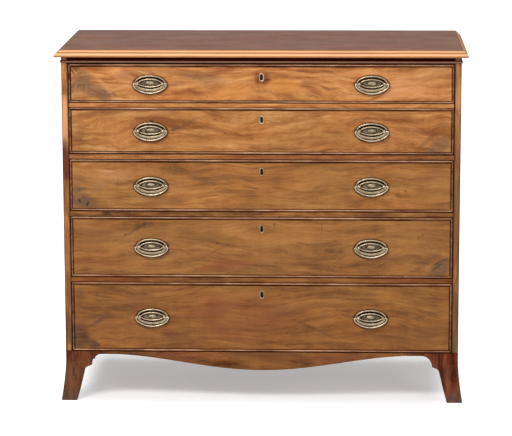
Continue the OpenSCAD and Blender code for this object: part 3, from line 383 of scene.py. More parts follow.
# Painted shade in the keyholes, then dirt with painted shade for grooves, gaps and round the plates, then
# the tones of stains, knots and rubbed places
KEYHOLE_SHADE = srgb(14, 8, 5)
GROOVE_DIRT_AND_SHADE = srgb(44, 17, 4)
GREY_BROWN = srgb(112, 82, 62)
DEEP_BROWN = srgb(92, 62, 42)
DARK_KNOT = srgb(58, 38, 28)
RED_BROWN = srgb(140, 72, 40)
REDDISH = srgb(104, 44, 26)
# The pale pink is partly rubbed pale wood and partly painted sheen of the figure
PALE_PINK_SHEEN = srgb(216, 152, 104)
BUFF = srgb(192, 132, 86)
AMBER = srgb(210, 136, 58)
HONEY = srgb(174, 118, 60)
TAWNY = srgb(152, 96, 54)
UMBER = srgb(122, 78, 44)
SMOKE = srgb(104, 76, 52)
BURNT = srgb(76, 48, 34)


fall_low, fall_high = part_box("fall_panel")
# Z of the false rail on the fall, of the feet's upper end, and from a bail's axis to its top in mm
RAIL_LOW, RAIL_HIGH = 0.8951, 0.9109
BAIL_RISE = 2.4
FOOT_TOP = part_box("front_feet")[1].z


def front_z(drawer):
    low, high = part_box(f"{drawer}_drawer_front")
    return low.z, high.z


def axis_z(owner, place="left"):
    """Height of the axis that the bails of a front turn on."""
    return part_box(f"{owner}_bail_{place}")[1].z - BAIL_RISE * MM


# The fronts' tones step darker from the fall down to the bottom drawer, and the fall's lower field is
# darker: partly their own tone, partly painted shade of the light falling off downwards
fall_wood = wood(
    "mahogany_fall", (142, 84, 38), (190, 128, 70), (220, 162, 102), seed=3.1, swoop=1.3,
    fronts=[(fall_low.z, RAIL_LOW), (RAIL_HIGH, fall_high.z)], figure=0.88,
    plates=[axis_z("fall", "upper_left"), axis_z("fall", "lower_left")],
    zones=[(RAIL_LOW, RAIL_HIGH, (0.98, 0.94, 0.88)), (0.7, RAIL_LOW, (0.88, 0.87, 0.84)),
           # Painted shade lines along the false rail's edges
           (RAIL_HIGH - 0.0026, RAIL_HIGH, SEAM_AND_SHADE), (RAIL_LOW, RAIL_LOW + 0.0009, SEAM_AND_SHADE)],
    patches=[
        (-528, 974, 30, 27, 40, GREY_BROWN, 0.85), (-492, 944, 51, 18, 22, GREY_BROWN, 0.85),
        (-552, 950, 15, 24, 0, GREY_BROWN, 0.6), (-553, 1012, 13.5, 2.7, 48, DARK_KNOT, 0.95),
        (-558, 1001, 12.6, 2.7, 62, DARK_KNOT, 0.9), (-544, 1013, 9.6, 2.4, 28, DARK_KNOT, 0.8),
        (-540, 995, 10.5, 3.6, -25, DARK_KNOT, 0.5), (-439, 939, 15, 3.6, 45, REDDISH, 0.9),
        (-462, 959, 36, 7.2, 42, PALE_PINK_SHEEN, 0.6), (-419, 954, 36, 3, -22, PALE_PINK_SHEEN, 0.5),
        (-552, 947, 3, 18, 10, BUFF, 0.5), (-537, 938, 3, 15, -12, BUFF, 0.5),
        (-519, 950, 2.7, 15, 6, BUFF, 0.4), (-492, 944, 24, 2.4, 24, DEEP_BROWN, 0.6),
        (-410, 989, 42, 15, 25, PALE_PINK_SHEEN, 0.5), (-167, 986, 60, 15, 8, GREY_BROWN, 0.6),
        (-143, 956, 42, 9, 4, DEEP_BROWN, 0.35), (-257, 1004, 60, 10.5, 6, TAWNY, 0.5),
        (-257, 965, 30, 6, -8, DEEP_BROWN, 0.45), (-89, 944, 51, 21, -12, AMBER, 0.6),
        (10, 983, 21, 16.5, 15, REDDISH, 0.9), (-11, 986, 7.8, 18, 0, REDDISH, 0.7),
        (7, 980, 21, 13.5, 0, REDDISH, 0.85), (70, 959, 48, 21, 0, AMBER, 0.6),
        (151, 974, 27, 9.6, 0, TAWNY, 0.6), (416, 956, 66, 24, -10, PALE_PINK_SHEEN, 0.5),
        (512, 992, 36, 27, 0, BUFF, 0.4), (527, 777, 45, 24, -42, GREY_BROWN, 0.85),
        (452, 835, 30, 10.5, 30, BUFF, 0.5), (491, 795, 36, 6.6, -42, DEEP_BROWN, 0.5),
        (-335, 883, 78, 15, 0, BUFF, 0.45), (-486, 877, 66, 12, -6, TAWNY, 0.5),
        (-325, 854, 5.4, 3.6, 0, DARK_KNOT, 0.95), (-540, 798, 21, 3, 8, DARK_KNOT, 0.6),
        (-236, 841, 66, 4.8, -24, DEEP_BROWN, 0.4), (-257, 829, 9, 4.2, 0, DARK_KNOT, 0.5),
        (-107, 819, 4.2, 2.7, 0, DARK_KNOT, 0.7), (-170, 798, 90, 15, 0, HONEY, 0.4),
        (206, 798, 108, 18, -4, HONEY, 0.4), (85, 774, 66, 7.5, 5, UMBER, 0.4),
    ])
upper_wood = wood(
    "mahogany_upper_front", (114, 70, 32), (160, 106, 52), (192, 136, 76), seed=11.4, swoop=1.1,
    fronts=[front_z("upper")], plates=[axis_z("upper_drawer")], figure=0.66,
    patches=[
        (-546, 622, 27, 33, -14, SMOKE, 0.95), (-516, 607, 30, 18, 24, SMOKE, 0.9),
        (-520, 604, 3.9, 7.8, 22, DARK_KNOT, 1.0), (-544, 613, 7.2, 3, 58, DARK_KNOT, 0.95),
        (-532, 625, 4.8, 2.7, 30, DARK_KNOT, 0.8), (-549, 641, 9.6, 2.7, -34, DARK_KNOT, 0.6),
        (-468, 704, 27, 4.2, 4, PALE_PINK_SHEEN, 0.6), (-486, 650, 30, 3.9, -32, BUFF, 0.6),
        (-549, 683, 18, 24, 20, DEEP_BROWN, 0.35), (-483, 653, 45, 6.6, -34, DEEP_BROWN, 0.45),
        (-429, 671, 2.7, 12, 4, DARK_KNOT, 0.45), (-170, 680, 45, 8.4, 12, DEEP_BROWN, 0.55),
        (-119, 689, 36, 10.5, 15, UMBER, 0.5), (-299, 616, 60, 10.5, 3, UMBER, 0.55),
        (-29, 656, 24, 4.2, 14, DARK_KNOT, 0.55), (-456, 683, 66, 21, -10, BUFF, 0.5),
        (175, 689, 78, 21, 8, HONEY, 0.55), (386, 671, 36, 4.8, -30, RED_BROWN, 0.5),
        (254, 635, 9, 21, 10, DEEP_BROWN, 0.3), (506, 689, 36, 21, 0, TAWNY, 0.45),
        (491, 619, 60, 15, -6, HONEY, 0.4),
    ])
middle_wood = wood(
    "mahogany_middle_front", (106, 64, 28), (154, 102, 50), (184, 130, 72), seed=21.9, swoop=0.9,
    fronts=[front_z("middle")], plates=[axis_z("middle_drawer")], figure=0.6,
    patches=[
        (-510, 507, 60, 30, 12, UMBER, 0.5), (-383, 522, 42, 4.8, -32, DARK_KNOT, 0.5),
        (-350, 541, 2.7, 12, 0, DARK_KNOT, 0.5), (-131, 486, 5.4, 3.6, -20, DARK_KNOT, 0.7),
        (-143, 459, 60, 3.6, -28, DEEP_BROWN, 0.4), (-101, 419, 90, 13.5, -6, RED_BROWN, 0.55),
        (-197, 465, 15, 4.2, 0, REDDISH, 0.5), (539, 413, 33, 24, -30, SMOKE, 0.95),
        (539, 433, 27, 2.7, -26, DARK_KNOT, 0.8), (527, 416, 21, 2.4, -40, DARK_KNOT, 0.6),
        (482, 513, 4.8, 3, -35, DARK_KNOT, 0.7), (470, 503, 4.2, 2.7, 0, DARK_KNOT, 0.5),
        (494, 428, 42, 9, -35, DEEP_BROWN, 0.45), (133, 459, 15, 18, 0, TAWNY, 0.4),
        (91, 501, 90, 21, -8, HONEY, 0.5), (392, 441, 66, 15, -4, TAWNY, 0.4),
        (182, 532, 2.4, 21, 0, REDDISH, 0.45), (39, 544, 3.6, 4.2, 0, DARK_KNOT, 0.8),
        (-501, 425, 72, 10.5, 0, RED_BROWN, 0.4), (512, 519, 36, 18, 0, TAWNY, 0.35),
    ])
bottom_wood = wood(
    "mahogany_bottom_front", (94, 52, 20), (144, 92, 40), (178, 122, 60), seed=34.2, swoop=0.9,
    fronts=[front_z("bottom")], plates=[axis_z("bottom_drawer")], figure=0.6,
    patches=[
        (-552, 195, 27, 36, 8, BURNT, 1.0), (-516, 177, 39, 12, 34, BURNT, 1.0),
        (-501, 238, 45, 6, -32, DEEP_BROWN, 0.7), (-534, 247, 30, 4.8, -40, UMBER, 0.6),
        (-474, 222, 36, 18, -30, TAWNY, 0.5), (-552, 331, 15, 15, 0, DEEP_BROWN, 0.5),
        (-269, 204, 27, 12, 0, REDDISH, 0.7), (-335, 222, 66, 15, 4, RED_BROWN, 0.5),
        (-143, 277, 30, 42, 12, REDDISH, 0.5), (-95, 295, 48, 18, -30, TAWNY, 0.5),
        (-119, 216, 78, 18, 18, RED_BROWN, 0.45), (-50, 325, 60, 15, -12, HONEY, 0.5),
        (-365, 313, 78, 12, -8, TAWNY, 0.4), (163, 222, 90, 4.2, 24, DARK_KNOT, 0.35),
        (416, 192, 102, 18, 0, UMBER, 0.4), (488, 265, 60, 3.9, -16, DEEP_BROWN, 0.5),
        (512, 222, 48, 15, -12, UMBER, 0.5), (85, 295, 72, 18, 6, HONEY, 0.4),
        (-71, 265, 174, 60, 0, RED_BROWN, 0.4),
    ])
# Z of the upper faces of the rails: one gap below each front
RAIL_TOPS = [low - 0.0013 for low in (front_z("middle")[0], front_z("upper")[0], fall_low.z)]


def rail_dirt_and_shade(net, place, colour):
    """Dirt and painted shade along the upper edge of each rail, below the gaps, and painted shade on the
    faces inside the gaps behind the front.
    """
    _, y, z = net.split(place)
    dirt_and_shade = net.span(y, CASE_FRONT + 0.0002, CASE_FRONT + 0.0012)
    dirt_and_shade = net.times(dirt_and_shade, net.span(y, CASE_FRONT + 0.02, CASE_FRONT + 0.045, 1, 0.2))
    for top in RAIL_TOPS:
        line = net.span(z, top - 0.0034, top - 0.0016)
        dirt_and_shade = net.most(dirt_and_shade, net.times(line, net.below(z, top + 0.001)))
    return net.mix(net.times(dirt_and_shade, 0.92), colour, GROOVE_DIRT_AND_SHADE)


# The zone from 1.0 m up, under the overhanging top, is painted shade
rail_wood = wood(
    "mahogany_rails", (104, 60, 32), (152, 98, 54), (186, 128, 78), seed=44.0, swoop=0.4,
    finish=rail_dirt_and_shade,
    zones=[(0.5, 0.58, (0.95, 1.02, 0.93)), (0.3, 0.4, (0.75, 0.69, 0.56)),
           (1.0, 1.1, (0.12, 0.03, 0.02))], gloss=0.15,
    patches=[
        (-20, 747, 126, 12, 0, RED_BROWN, 0.7), (-462, 574, 18, 9, 0, DARK_KNOT, 0.8),
        (-471, 371, 90, 12, 0, RED_BROWN, 0.7), (416, 371, 120, 12, 0, RED_BROWN, 0.6),
    ])


def bead_tone_and_shade(net, place, colour):
    """Painted shade behind the nose, on the bead's flank and down into the groove, and a darker tone on the
    upright strips.
    """
    x, y, _ = net.split(place)
    upright = net.above(net.size(x), fall_high.x - BEAD_FIELD)
    colour = net.tinted(colour, (0.52, 0.48, 0.45), upright)
    return net.mix(net.span(y, fall_low.y - 0.0021, fall_low.y - 0.0009, 0, 0.97), colour, GROOVE_DIRT_AND_SHADE)


bead_wood = wood("mahogany_cockbead", (118, 70, 42), (172, 120, 84), (222, 172, 136), seed=51.0,
                 swoop=0.3, gloss=0.3, edge_wear_and_highlight=0.2, finish=bead_tone_and_shade)


def side_stains_and_shade(net, place, colour):
    """Front edges of the sides: paler than the faces, stained in places, darker along the outer corners,
    with dirt and painted shade along the openings and painted shade on the openings' sides.
    """
    x, y, _ = net.split(place)
    ahead = net.below(y, CASE_FRONT + 0.0012)
    mottled = net.noise(place, (90, 90, 11), 5, 0.7)
    edge = net.ramp(mottled, [(0.38, srgb(98, 54, 30)), (0.5, srgb(144, 90, 52)),
                              (0.61, srgb(182, 126, 78))])
    right = net.above(x, 0.0)
    edge = net.tinted(edge, (0.86, 0.86, 0.82), right)
    for *mark, tone, strength, seed in (
            (-585, 865, 24, 66, PALE_PINK_SHEEN, 0.7, 11.8), (-585, 722, 24, 54, srgb(88, 36, 24), 0.9, 16.5),
            (-585, 610, 24, 42, UMBER, 0.6, 20.2), (-585, 386, 24, 102, UMBER, 0.65, 27.6),
            (-585, 213, 24, 48, BURNT, 0.75, 33.3), (584, 929, 24, 42, PALE_PINK_SHEEN, 0.5, 9.7),
            (584, 813, 24, 54, HONEY, 0.5, 13.5), (584, 550, 24, 150, UMBER, 0.75, 22.2),
            (584, 247, 24, 102, SMOKE, 0.7, 32.2)):
        inside = net.ellipse(place, *mark, ragged=0.7, seed=seed)
        edge = net.mix(net.times(inside, strength), edge, tone)
    edge = net.mix(right, net.tinted(edge, (1.24, 1.26, 1.16)), net.tinted(edge, (1.04, 1.06, 1.05)))
    colour = net.mix(ahead, colour, edge)
    aside = net.size(x)
    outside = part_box("carcase_sides")[1].x
    # Darker along the outer corner, and dirt with painted shade along the opening's edge
    rim = net.most(net.span(aside, outside - 0.0042, outside - 0.0018, 0, 0.5),
                   net.span(aside, HALF_OPEN + 0.0062, HALF_OPEN + 0.0014, 0, 0.75))
    colour = net.mix(net.times(rim, ahead), colour, srgb(66, 34, 18))
    # Painted shade on the sides of the openings, fading back into the case
    gap_shade = net.below(aside, HALF_OPEN + 0.0016)
    deep = net.span(y, CASE_FRONT + 0.03, CASE_FRONT + 0.06, 0.95, 0.0)
    return net.mix(net.times(gap_shade, deep), colour, GROOVE_DIRT_AND_SHADE)


side_wood = wood(
    "mahogany_case_sides", (98, 56, 30), (142, 90, 50), (172, 116, 70), along="Z", seed=61.0,
    swoop=0.5, tilt=0.05, figure=0.75, gloss=0.15, finish=side_stains_and_shade)
# Width of the top's moulded edge, in metres
TOP_BAND = 0.016
EDGE_SHADE, EDGE_MID, EDGE_HIGHLIGHT = srgb(132, 76, 38), srgb(182, 126, 82), srgb(247, 194, 142)
# Height above its underside, in mm, of the painted shade in the hollows and the painted highlights on the
# two rounds of the top's moulded edge
EDGE_SHADING_BANDS = [(0, EDGE_SHADE), (3.5, EDGE_MID), (6.4, EDGE_HIGHLIGHT), (9.4, EDGE_HIGHLIGHT), (11.4, EDGE_MID),
              (14.2, EDGE_MID), (16.4, EDGE_HIGHLIGHT), (20, EDGE_MID)]


def top_tones_and_light(net, place, colour):
    """The moulded edge is more golden than the top face, with painted highlights on its rounds and painted
    shade in its hollows and on the side edges; the top face's dull mauve-brown is partly the wood's own tone
    and partly painted sheen.
    """
    low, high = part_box("top_board")
    x, y, z = net.split(place)
    aside = net.above(net.size(x), high.x - TOP_BAND)
    ahead = net.below(y, low.y + TOP_BAND)
    on_top = net.above(z, high.z - 0.0006)
    wander = net.times(net.minus(net.noise(place, 6), 0.5), 0.003)
    share = net.span(net.plus(z, wander), low.z, high.z, smooth=False)
    thick = (high.z - low.z) / MM
    tones = net.ramp(share, [(mm / thick, tone) for mm, tone in EDGE_SHADING_BANDS])
    golden = net.mix(0.75, net.tinted(colour, (3.0, 2.8, 2.0)), tones)
    # Painted shade on the moulded side edges
    edge = net.mix(ahead, net.tinted(golden, (0.66, 0.60, 0.56)), golden)
    colour = net.mix(net.times(net.most(aside, ahead), net.minus(1.0, on_top)), colour, edge)
    nose = net.times(on_top, net.span(y, low.y + 0.0045, low.y + 0.0015))
    colour = net.mix(net.times(nose, 0.8), colour, srgb(206, 132, 78))
    rim = net.most(net.span(y, high.y - 0.005, high.y - 0.001),
                   net.span(net.size(x), high.x - 0.005, high.x - 0.001))
    return net.mix(net.times(net.times(rim, on_top), 0.7), colour, srgb(58, 40, 32))


# The top face's dull mauve-brown is partly the wood's own tone and partly painted sheen of light reflected
# at a low angle
top_wood = wood("mahogany_top_board", (98, 68, 56), (116, 83, 69), (132, 98, 82), seed=71.0,
                rough=0.58, gloss=0.12, edge_wear_and_highlight=0.1, streak=0.2, figure=0.7, finish=top_tones_and_light)


def under_highlight(net, place, colour):
    """Painted highlight along the nose of the moulding."""
    x, y, _ = net.split(place)
    low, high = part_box("top_moulding")
    nose = net.most(net.span(y, low.y + 0.0014, low.y + 0.0004),
                    net.span(net.size(x), high.x - 0.0014, high.x - 0.0004))
    return net.mix(net.times(nose, 0.75), colour, srgb(176, 130, 104))


# The moulding's dark tones are partly painted shade under the overhanging top
under_wood = wood("mahogany_under_moulding", (66, 28, 14), (92, 44, 24), (122, 68, 44), seed=81.0,
                  swoop=0.2, rough=0.5, gloss=0.1, edge_wear_and_highlight=0.3, finish=under_highlight)


def gap_dirt_and_shade(net, place, colour):
    """Dark line along the bottom drawer's opening: painted shade below the gap, with dirt."""
    x, y, z = net.split(place)
    line = net.times(net.span(z, FOOT_TOP - 0.0036, FOOT_TOP - 0.0018),
                     net.below(net.size(x), HALF_OPEN + 0.0016))
    return net.mix(net.times(line, net.span(y, -0.2, -0.19, 0.95, 0.0)), colour, GROOVE_DIRT_AND_SHADE)


apron_wood = wood(
    "mahogany_apron", (84, 42, 12), (120, 72, 29), (152, 97, 44), seed=91.0, swoop=0.8, finish=gap_dirt_and_shade,
    patches=[
        (-245, 138, 66, 12, 0, RED_BROWN, 0.5), (-498, 141, 42, 15, 0, REDDISH, 0.7),
        (206, 131, 78, 15, 0, RED_BROWN, 0.4), (488, 138, 60, 15, 0, REDDISH, 0.8),
        (1, 144, 150, 9, 0, UMBER, 0.4),
    ])


def foot_finish(net, place, colour):
    """Scuffed and greyed towards the floor, redder at the brackets and on the right, with the painted shade
    of the gap line above.
    """
    x, _, z = net.split(place)
    right = net.above(x, 0.0)
    colour = net.mix(right, net.tinted(colour, (0.84, 0.88, 0.80)), net.tinted(colour, (1.06, 0.90, 0.84)))
    drift = net.times(net.noise(place, (22, 22, 16), 4, 0.6), 0.06)
    colour = net.tinted(colour, (0.95, 0.62, 0.5), net.span(net.plus(z, drift), 0.125, 0.165, 0, 0.75))
    ragged = net.plus(z, net.times(net.noise(place, (40, 40, 30), 4, 0.6), 0.05))
    return gap_dirt_and_shade(net, place, net.mix(net.span(ragged, 0.075, 0.03, 0, 0.55), colour, srgb(84, 68, 58)))


foot_wood = wood("mahogany_feet", (70, 34, 18), (106, 59, 32), (136, 82, 46), along="Z",
                 seed=101.0, swoop=0.7, finish=foot_finish)
# Dark, middle and light tone of the mahogany inside
INNER = (112, 62, 36), (150, 92, 56), (178, 118, 76)
inner_wood = wood("mahogany_interior", *INNER, seed=111.0, swoop=0.8, rough=0.38)
inner_upright = wood("mahogany_interior_upright", *INNER, along="Y", seed=117.0, swoop=0.8, rough=0.38)
lining_side = wood("oak_lining_sides", (150, 118, 78), (184, 150, 104), (206, 174, 128), along="Y",
                   seed=121.0, swoop=0.6, rough=0.62, gloss=0.2, streak=0.2, edge_wear_and_highlight=0.1)
lining_base = wood("oak_lining_bottoms", (146, 114, 76), (178, 144, 100), (200, 168, 124), seed=131.0,
                   swoop=0.9, rough=0.64, gloss=0.2, streak=0.2, edge_wear_and_highlight=0.1)
pine = wood("pine_boards", (140, 100, 60), (176, 134, 86), (198, 158, 108), seed=141.0,
            rough=0.66, gloss=0.2, streak=0.3, edge_wear_and_highlight=0.1)


def board_zones(node, tones):
    """Zones that give each board of a level boarding its own tone, with a dark joint above it."""
    boards = sorted((min(v[2] for v in verts), max(v[2] for v in verts)) for verts, _ in islands(node))
    zones = []
    for k, (low, high) in enumerate(boards):
        zones += [(low, high, tones[k % len(tones)]), (high - 0.0012, high + 0.0012, SEAM_AND_SHADE)]
    return zones


pine_back = wood("pine_back_boards", (134, 94, 56), (168, 124, 78), (190, 148, 100), seed=151.0,
                 swoop=0.8, rough=0.7, gloss=0.12, edge_wear_and_highlight=0.1, figure=0.8,
                 zones=board_zones("back_boards", [(0.86, 0.84, 0.82), (1.05, 1.0, 0.95),
                                                   (0.78, 0.78, 0.78), (0.97, 0.93, 0.88)]))

# Dark, middle and light tone of the small drawers and door
SMALL = (134, 76, 42), (176, 114, 70), (200, 140, 92)


def knob_finish(net, place, colour):
    """The turned knobs in front of the fitted interior are darker than the fronts they are screwed to."""
    _, y, _ = net.split(place)
    return net.tinted(colour, (0.34, 0.26, 0.22), net.below(y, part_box("nest_case")[0].y - 0.0002))


small_wood = wood("mahogany_small_drawers", *SMALL, seed=161.0, swoop=1.6, rough=0.36, finish=knob_finish)
door_wood = wood("mahogany_cupboard_door", *SMALL, along="Z", seed=171.0, swoop=1.6, rough=0.36,
                 finish=knob_finish)


# Brass and leather

def brass(name, bright, mid, dark, rough=0.3):
    """Old brass: bright where it stands proud, brown where each point of the mesh is marked dark: patina in
    the hollows, and painted shade.
    """
    bright, mid, dark = srgb(*bright), srgb(*mid), srgb(*dark)
    net = Net(bpy.data.materials.new(name))
    place = net.place()
    hollow = net.make("ShaderNodeAttribute", attribute_name="hollow", out=2)
    mottle = net.noise(place, 70, 5, 0.65)
    speck = net.noise(place, 420)
    bevel, edge = net.soft_edge(0.0007)
    colour = net.mix(net.span(mottle, 0.35, 0.65), bright, mid)
    grime_and_shade = net.span(net.plus(hollow, net.times(net.minus(mottle, 0.5), 0.4)), 0.15, 0.85)
    colour = net.mix(grime_and_shade, colour, dark)
    colour = net.mix(net.span(speck, 0.60, 0.72, 0, 0.5), colour, shade(dark, 1.6))
    colour = net.mix(net.times(edge, 0.5), colour, bright)
    roughness = net.plus(net.span(mottle, 0.3, 0.7, rough - 0.05, rough + 0.12, smooth=False),
                         net.times(grime_and_shade, 0.4))
    metal = net.span(grime_and_shade, 0.0, 1.0, 1.0, 0.1)
    bump = net.make("ShaderNodeBump", {"Strength": 0.15, "Distance": 0.0003, "Height": speck,
                                       "Normal": bevel})
    net.feed(net.shader, {"Base Color": colour, "Roughness": roughness, "Metallic": metal, "Normal": bump,
                          "Specular IOR Level": net.span(grime_and_shade, 0.0, 1.0, 0.5, 0.05)})
    return net.owner


handle_brass = brass("antique_brass_handles", (192, 171, 144), (160, 144, 112), (30, 15, 5), 0.36)
# The bails' brass is lighter than the plates': painted highlight of the wire catching the light
bail_brass_highlit = brass("antique_brass_bails_highlit", (212, 192, 168), (172, 156, 128), (36, 22, 10), 0.36)
keyhole_brass = brass("worn_brass_escutcheons", (204, 172, 152), (172, 140, 118), (16, 4, 2), 0.42)
keyhole_dull = brass("dull_brass_escutcheons", (176, 150, 114), (144, 120, 88), (12, 3, 1), 0.5)
lock_brass = brass("aged_brass_locks", (196, 166, 110), (160, 130, 78), (74, 56, 32), 0.38)


def leather(name, base, gilt):
    """Skiver let into the fall, with two gilt lines round it."""
    net = Net(bpy.data.materials.new(name))
    low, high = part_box("fall_leather")
    place = net.place()
    x, _, z = net.split(place)
    pebble = net.make("ShaderNodeTexVoronoi", {"Vector": place, "Scale": 900.0}, feature="DISTANCE_TO_EDGE")
    mottle = net.noise(place, 14, 5, 0.6)
    colour = net.mix(net.span(mottle, 0.3, 0.7), base, shade(base, 1.7))
    colour = net.mix(net.span(pebble, 0.0, 0.25, 0.5, 0.0), colour, shade(base, 0.4))
    rubbed = net.span(net.noise(place, 6, 4, 0.7), 0.52, 0.75, 0, 0.4)
    colour = net.mix(rubbed, colour, srgb(120, 96, 62))
    inset = net.least(net.minus(high.x, net.size(x)), net.least(net.minus(high.z, z), net.minus(z, low.z)))
    lines = net.most(*[net.below(net.size(net.minus(inset, middle)), half)
                       for middle, half in ((0.012, 0.0009), (0.017, 0.0004))])
    lines = net.times(lines, net.span(net.noise(place, 120), 0.35, 0.55, 0.25, 1))
    colour = net.mix(lines, colour, gilt)
    roughness = net.span(mottle, 0.3, 0.7, 0.5, 0.68)
    bump = net.make("ShaderNodeBump", {"Strength": 0.35, "Distance": 0.0004, "Height": pebble})
    net.feed(net.shader, {"Base Color": colour, "Roughness": roughness, "Normal": bump})
    return net.owner


green_leather = leather("writing_leather_green", srgb(34, 56, 40), srgb(196, 160, 84))

for names, material in (
        ("top_board", top_wood), ("top_moulding", under_wood), ("carcase_sides side_back_aprons", side_wood),
        ("drawer_rails", rail_wood), ("front_apron", apron_wood), ("front_feet back_feet", foot_wood),
        ("back_boards", pine_back), ("dustboards drawer_runners bottom_board foot_blocks", pine),
        ("secretaire_back", lining_base), ("secretaire_bed nest_case", inner_wood),
        ("secretaire_sides nest_partitions", inner_upright), ("nest_door", door_wood),
        ("nest_drawer_1 nest_drawer_2 nest_drawer_3 nest_drawer_4", small_wood),
        ("fall_panel", fall_wood), ("fall_cockbeads", bead_wood), ("fall_leather", green_leather),
        ("desk_hinge_leaves nest_door_hinge_leaves fall_hinge_leaves", lock_brass),
        ("quadrant_stays fall_lock_bolt", lock_brass)):
    for name in names.split():
        dress(name, material)
for drawer, material in zip(DRAWERS, (upper_wood, middle_wood, bottom_wood)):
    dress(f"{drawer}_drawer_front", material)
    dress(f"{drawer}_drawer_cockbeads", bead_wood)
    dress(f"{drawer}_drawer_sides", lining_side)
    dress(f"{drawer}_drawer_bottom", lining_base)
    dress(f"{drawer}_drawer_lock_bolt", lock_brass)


# Mesh helpers

def new_piece(name, shape, material, body, smooth=True):
    """Object from a shape: points, faces, and for each point how dark it is, with patina in hollows and
    painted shade.
    """
    verts, faces, hollow = shape
    mesh = bpy.data.meshes.new(name)
    mesh.from_pydata(verts, [], faces)
    mesh.validate()
    mesh.attributes.new("hollow", "FLOAT", "POINT").data.foreach_set("value", hollow)
    mesh.materials.append(material)
    if smooth:
        mesh.shade_smooth()
        mesh.set_sharp_from_angle(angle=math.radians(50))
    piece = bpy.data.objects.new(name, mesh)
    bpy.context.scene.collection.objects.link(piece)
    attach(piece, body)
    return piece


def turn(count):
    """Angles that divide a full turn."""
    return [2 * math.pi * k / count for k in range(count)]


def rings_to_faces(count, around):
    """Quads between closed rings of points that follow each other."""
    faces = []
    for start in range(0, (count - 1) * around, around):
        for k in range(around):
            a, b = start + k, start + (k + 1) % around
            faces.append((a, b, b + around, a + around))
    return faces


def close(shape, around, first, tip, deep, flip):
    """Triangles from a ring, which starts at the point number first, to a tip."""
    verts, faces, hollow = shape
    verts.append(tip)
    hollow.append(deep)
    for k in range(around):
        a, b, end = first + k, first + (k + 1) % around, len(verts) - 1
        faces.append((b, a, end) if flip else (a, b, end))


def lathe_y(x, y_wood, z, profile, around=24):
    """Turned shape about an axis along Y. Its profile of (radius, distance in front of the wood, darkness of
    patina and painted shade), in mm, starts and ends on the axis."""
    verts, hollow = [], []
    for radius, out, deep in profile[1:-1]:
        for a in turn(around):
            verts.append((x + radius * MM * math.cos(a), y_wood - out * MM, z + radius * MM * math.sin(a)))
            hollow.append(deep)
    count = len(profile) - 2
    shape = verts, rings_to_faces(count, around), hollow
    for (_, out, deep), first, flip in ((profile[0], 0, True), (profile[-1], (count - 1) * around, False)):
        close(shape, around, first, (x, y_wood - out * MM, z), deep, flip)
    return shape


def merge(parts):
    """One shape of several."""
    verts, faces, hollow = [], [], []
    for v, f, h in parts:
        base = len(verts)
        verts += v
        faces += [tuple(i + base for i in face) for face in f]
        hollow += h
    return verts, faces, hollow


# Handles

# Points on each curve of a plate
AROUND = 112


def oval(t, half, up, down, point):
    """Point of a curve that may be higher than it is deep, and pointed at its ends."""
    s = math.sin(t)
    return half * math.cos(t), (up if s > 0 else down) * math.copysign(abs(s) ** point, s)


# Closed curves of a back plate from the rim inward, in mm: half length, half height above and below the
# posts, how pointed (1 is an ellipse), then height off the wood and darkness in the upper half and in the
# lower.
# The darkness is patina in the hollows and painted shade: the upper half's hollows darker, as in shade from
# light above, and the foot of the rim dark where it meets the wood.
PLATE_CURVES = [
    (47.0, 24.5, 24.5, 1.00, 0.0, 0.90, 0.0, 0.60),
    (47.0, 24.5, 24.5, 1.00, 0.8, 0.80, 0.8, 0.45),
    (46.7, 24.2, 24.2, 1.00, 1.7, 0.25, 1.7, 0.10),
    (46.0, 23.5, 23.5, 1.00, 2.5, 0.00, 2.5, 0.10),
    (44.9, 22.5, 22.5, 1.00, 2.9, 0.00, 2.6, 0.05),
    (43.6, 21.2, 21.4, 1.00, 2.8, 0.00, 2.5, 0.05),
    (42.6, 20.2, 20.6, 1.00, 2.0, 0.40, 2.4, 0.08),
    (42.0, 19.6, 20.0, 1.00, 1.0, 1.00, 2.3, 0.10),
    (41.4, 18.8, 19.2, 1.02, 0.8, 1.00, 2.2, 0.10),
    (40.6, 17.6, 18.0, 1.08, 0.8, 1.00, 1.9, 0.25),
    (39.8, 16.4, 16.9, 1.18, 0.8, 1.00, 1.3, 0.90),
    (39.0, 15.4, 16.2, 1.25, 0.8, 1.00, 0.8, 1.00),
    (38.4, 15.0, 14.2, 1.30, 1.2, 1.00, 0.7, 1.00),
    (38.0, 14.7, 13.2, 1.30, 2.6, 0.20, 1.2, 1.00),
    (37.3, 14.0, 12.8, 1.30, 3.6, 0.00, 2.8, 0.15),
    (36.2, 12.9, 11.9, 1.30, 4.0, 0.00, 3.9, 0.00),
    (34.8, 11.5, 10.4, 1.30, 3.8, 0.00, 4.1, 0.00),
    (33.4, 10.5, 9.0, 1.30, 2.6, 0.30, 3.4, 0.05),
    (32.6, 10.0, 8.2, 1.30, 1.2, 1.00, 1.8, 0.85),
    (31.0, 9.3, 7.7, 1.25, 0.9, 1.00, 1.0, 1.00),
    (27.0, 8.4, 7.2, 1.20, 0.9, 0.66, 1.0, 0.60),
    (20.0, 7.2, 6.5, 1.08, 1.1, 0.58, 1.2, 0.54),
    (15.0, 6.4, 5.9, 1.00, 1.3, 0.72, 1.4, 0.66),
    (13.0, 5.9, 5.5, 1.00, 1.6, 0.70, 1.5, 0.66),
    (11.6, 5.4, 5.0, 1.00, 2.4, 0.36, 2.3, 0.58),
    (9.6, 4.5, 4.2, 1.00, 3.1, 0.30, 3.0, 0.55),
    (6.6, 3.0, 2.9, 1.00, 3.4, 0.36, 3.3, 0.52),
    (3.0, 1.4, 1.4, 1.00, 3.5, 0.40, 3.5, 0.46),
]
# From a handle's middle to its posts, and from the wood to the axis of its bail, in mm
POST_X = 37.0
EYE_OUT = 8.5
# How far the handles' shanks reach into the fall and into a drawer's front, in mm
FALL_SHANK, DRAWER_SHANK = 15.0, 26.0


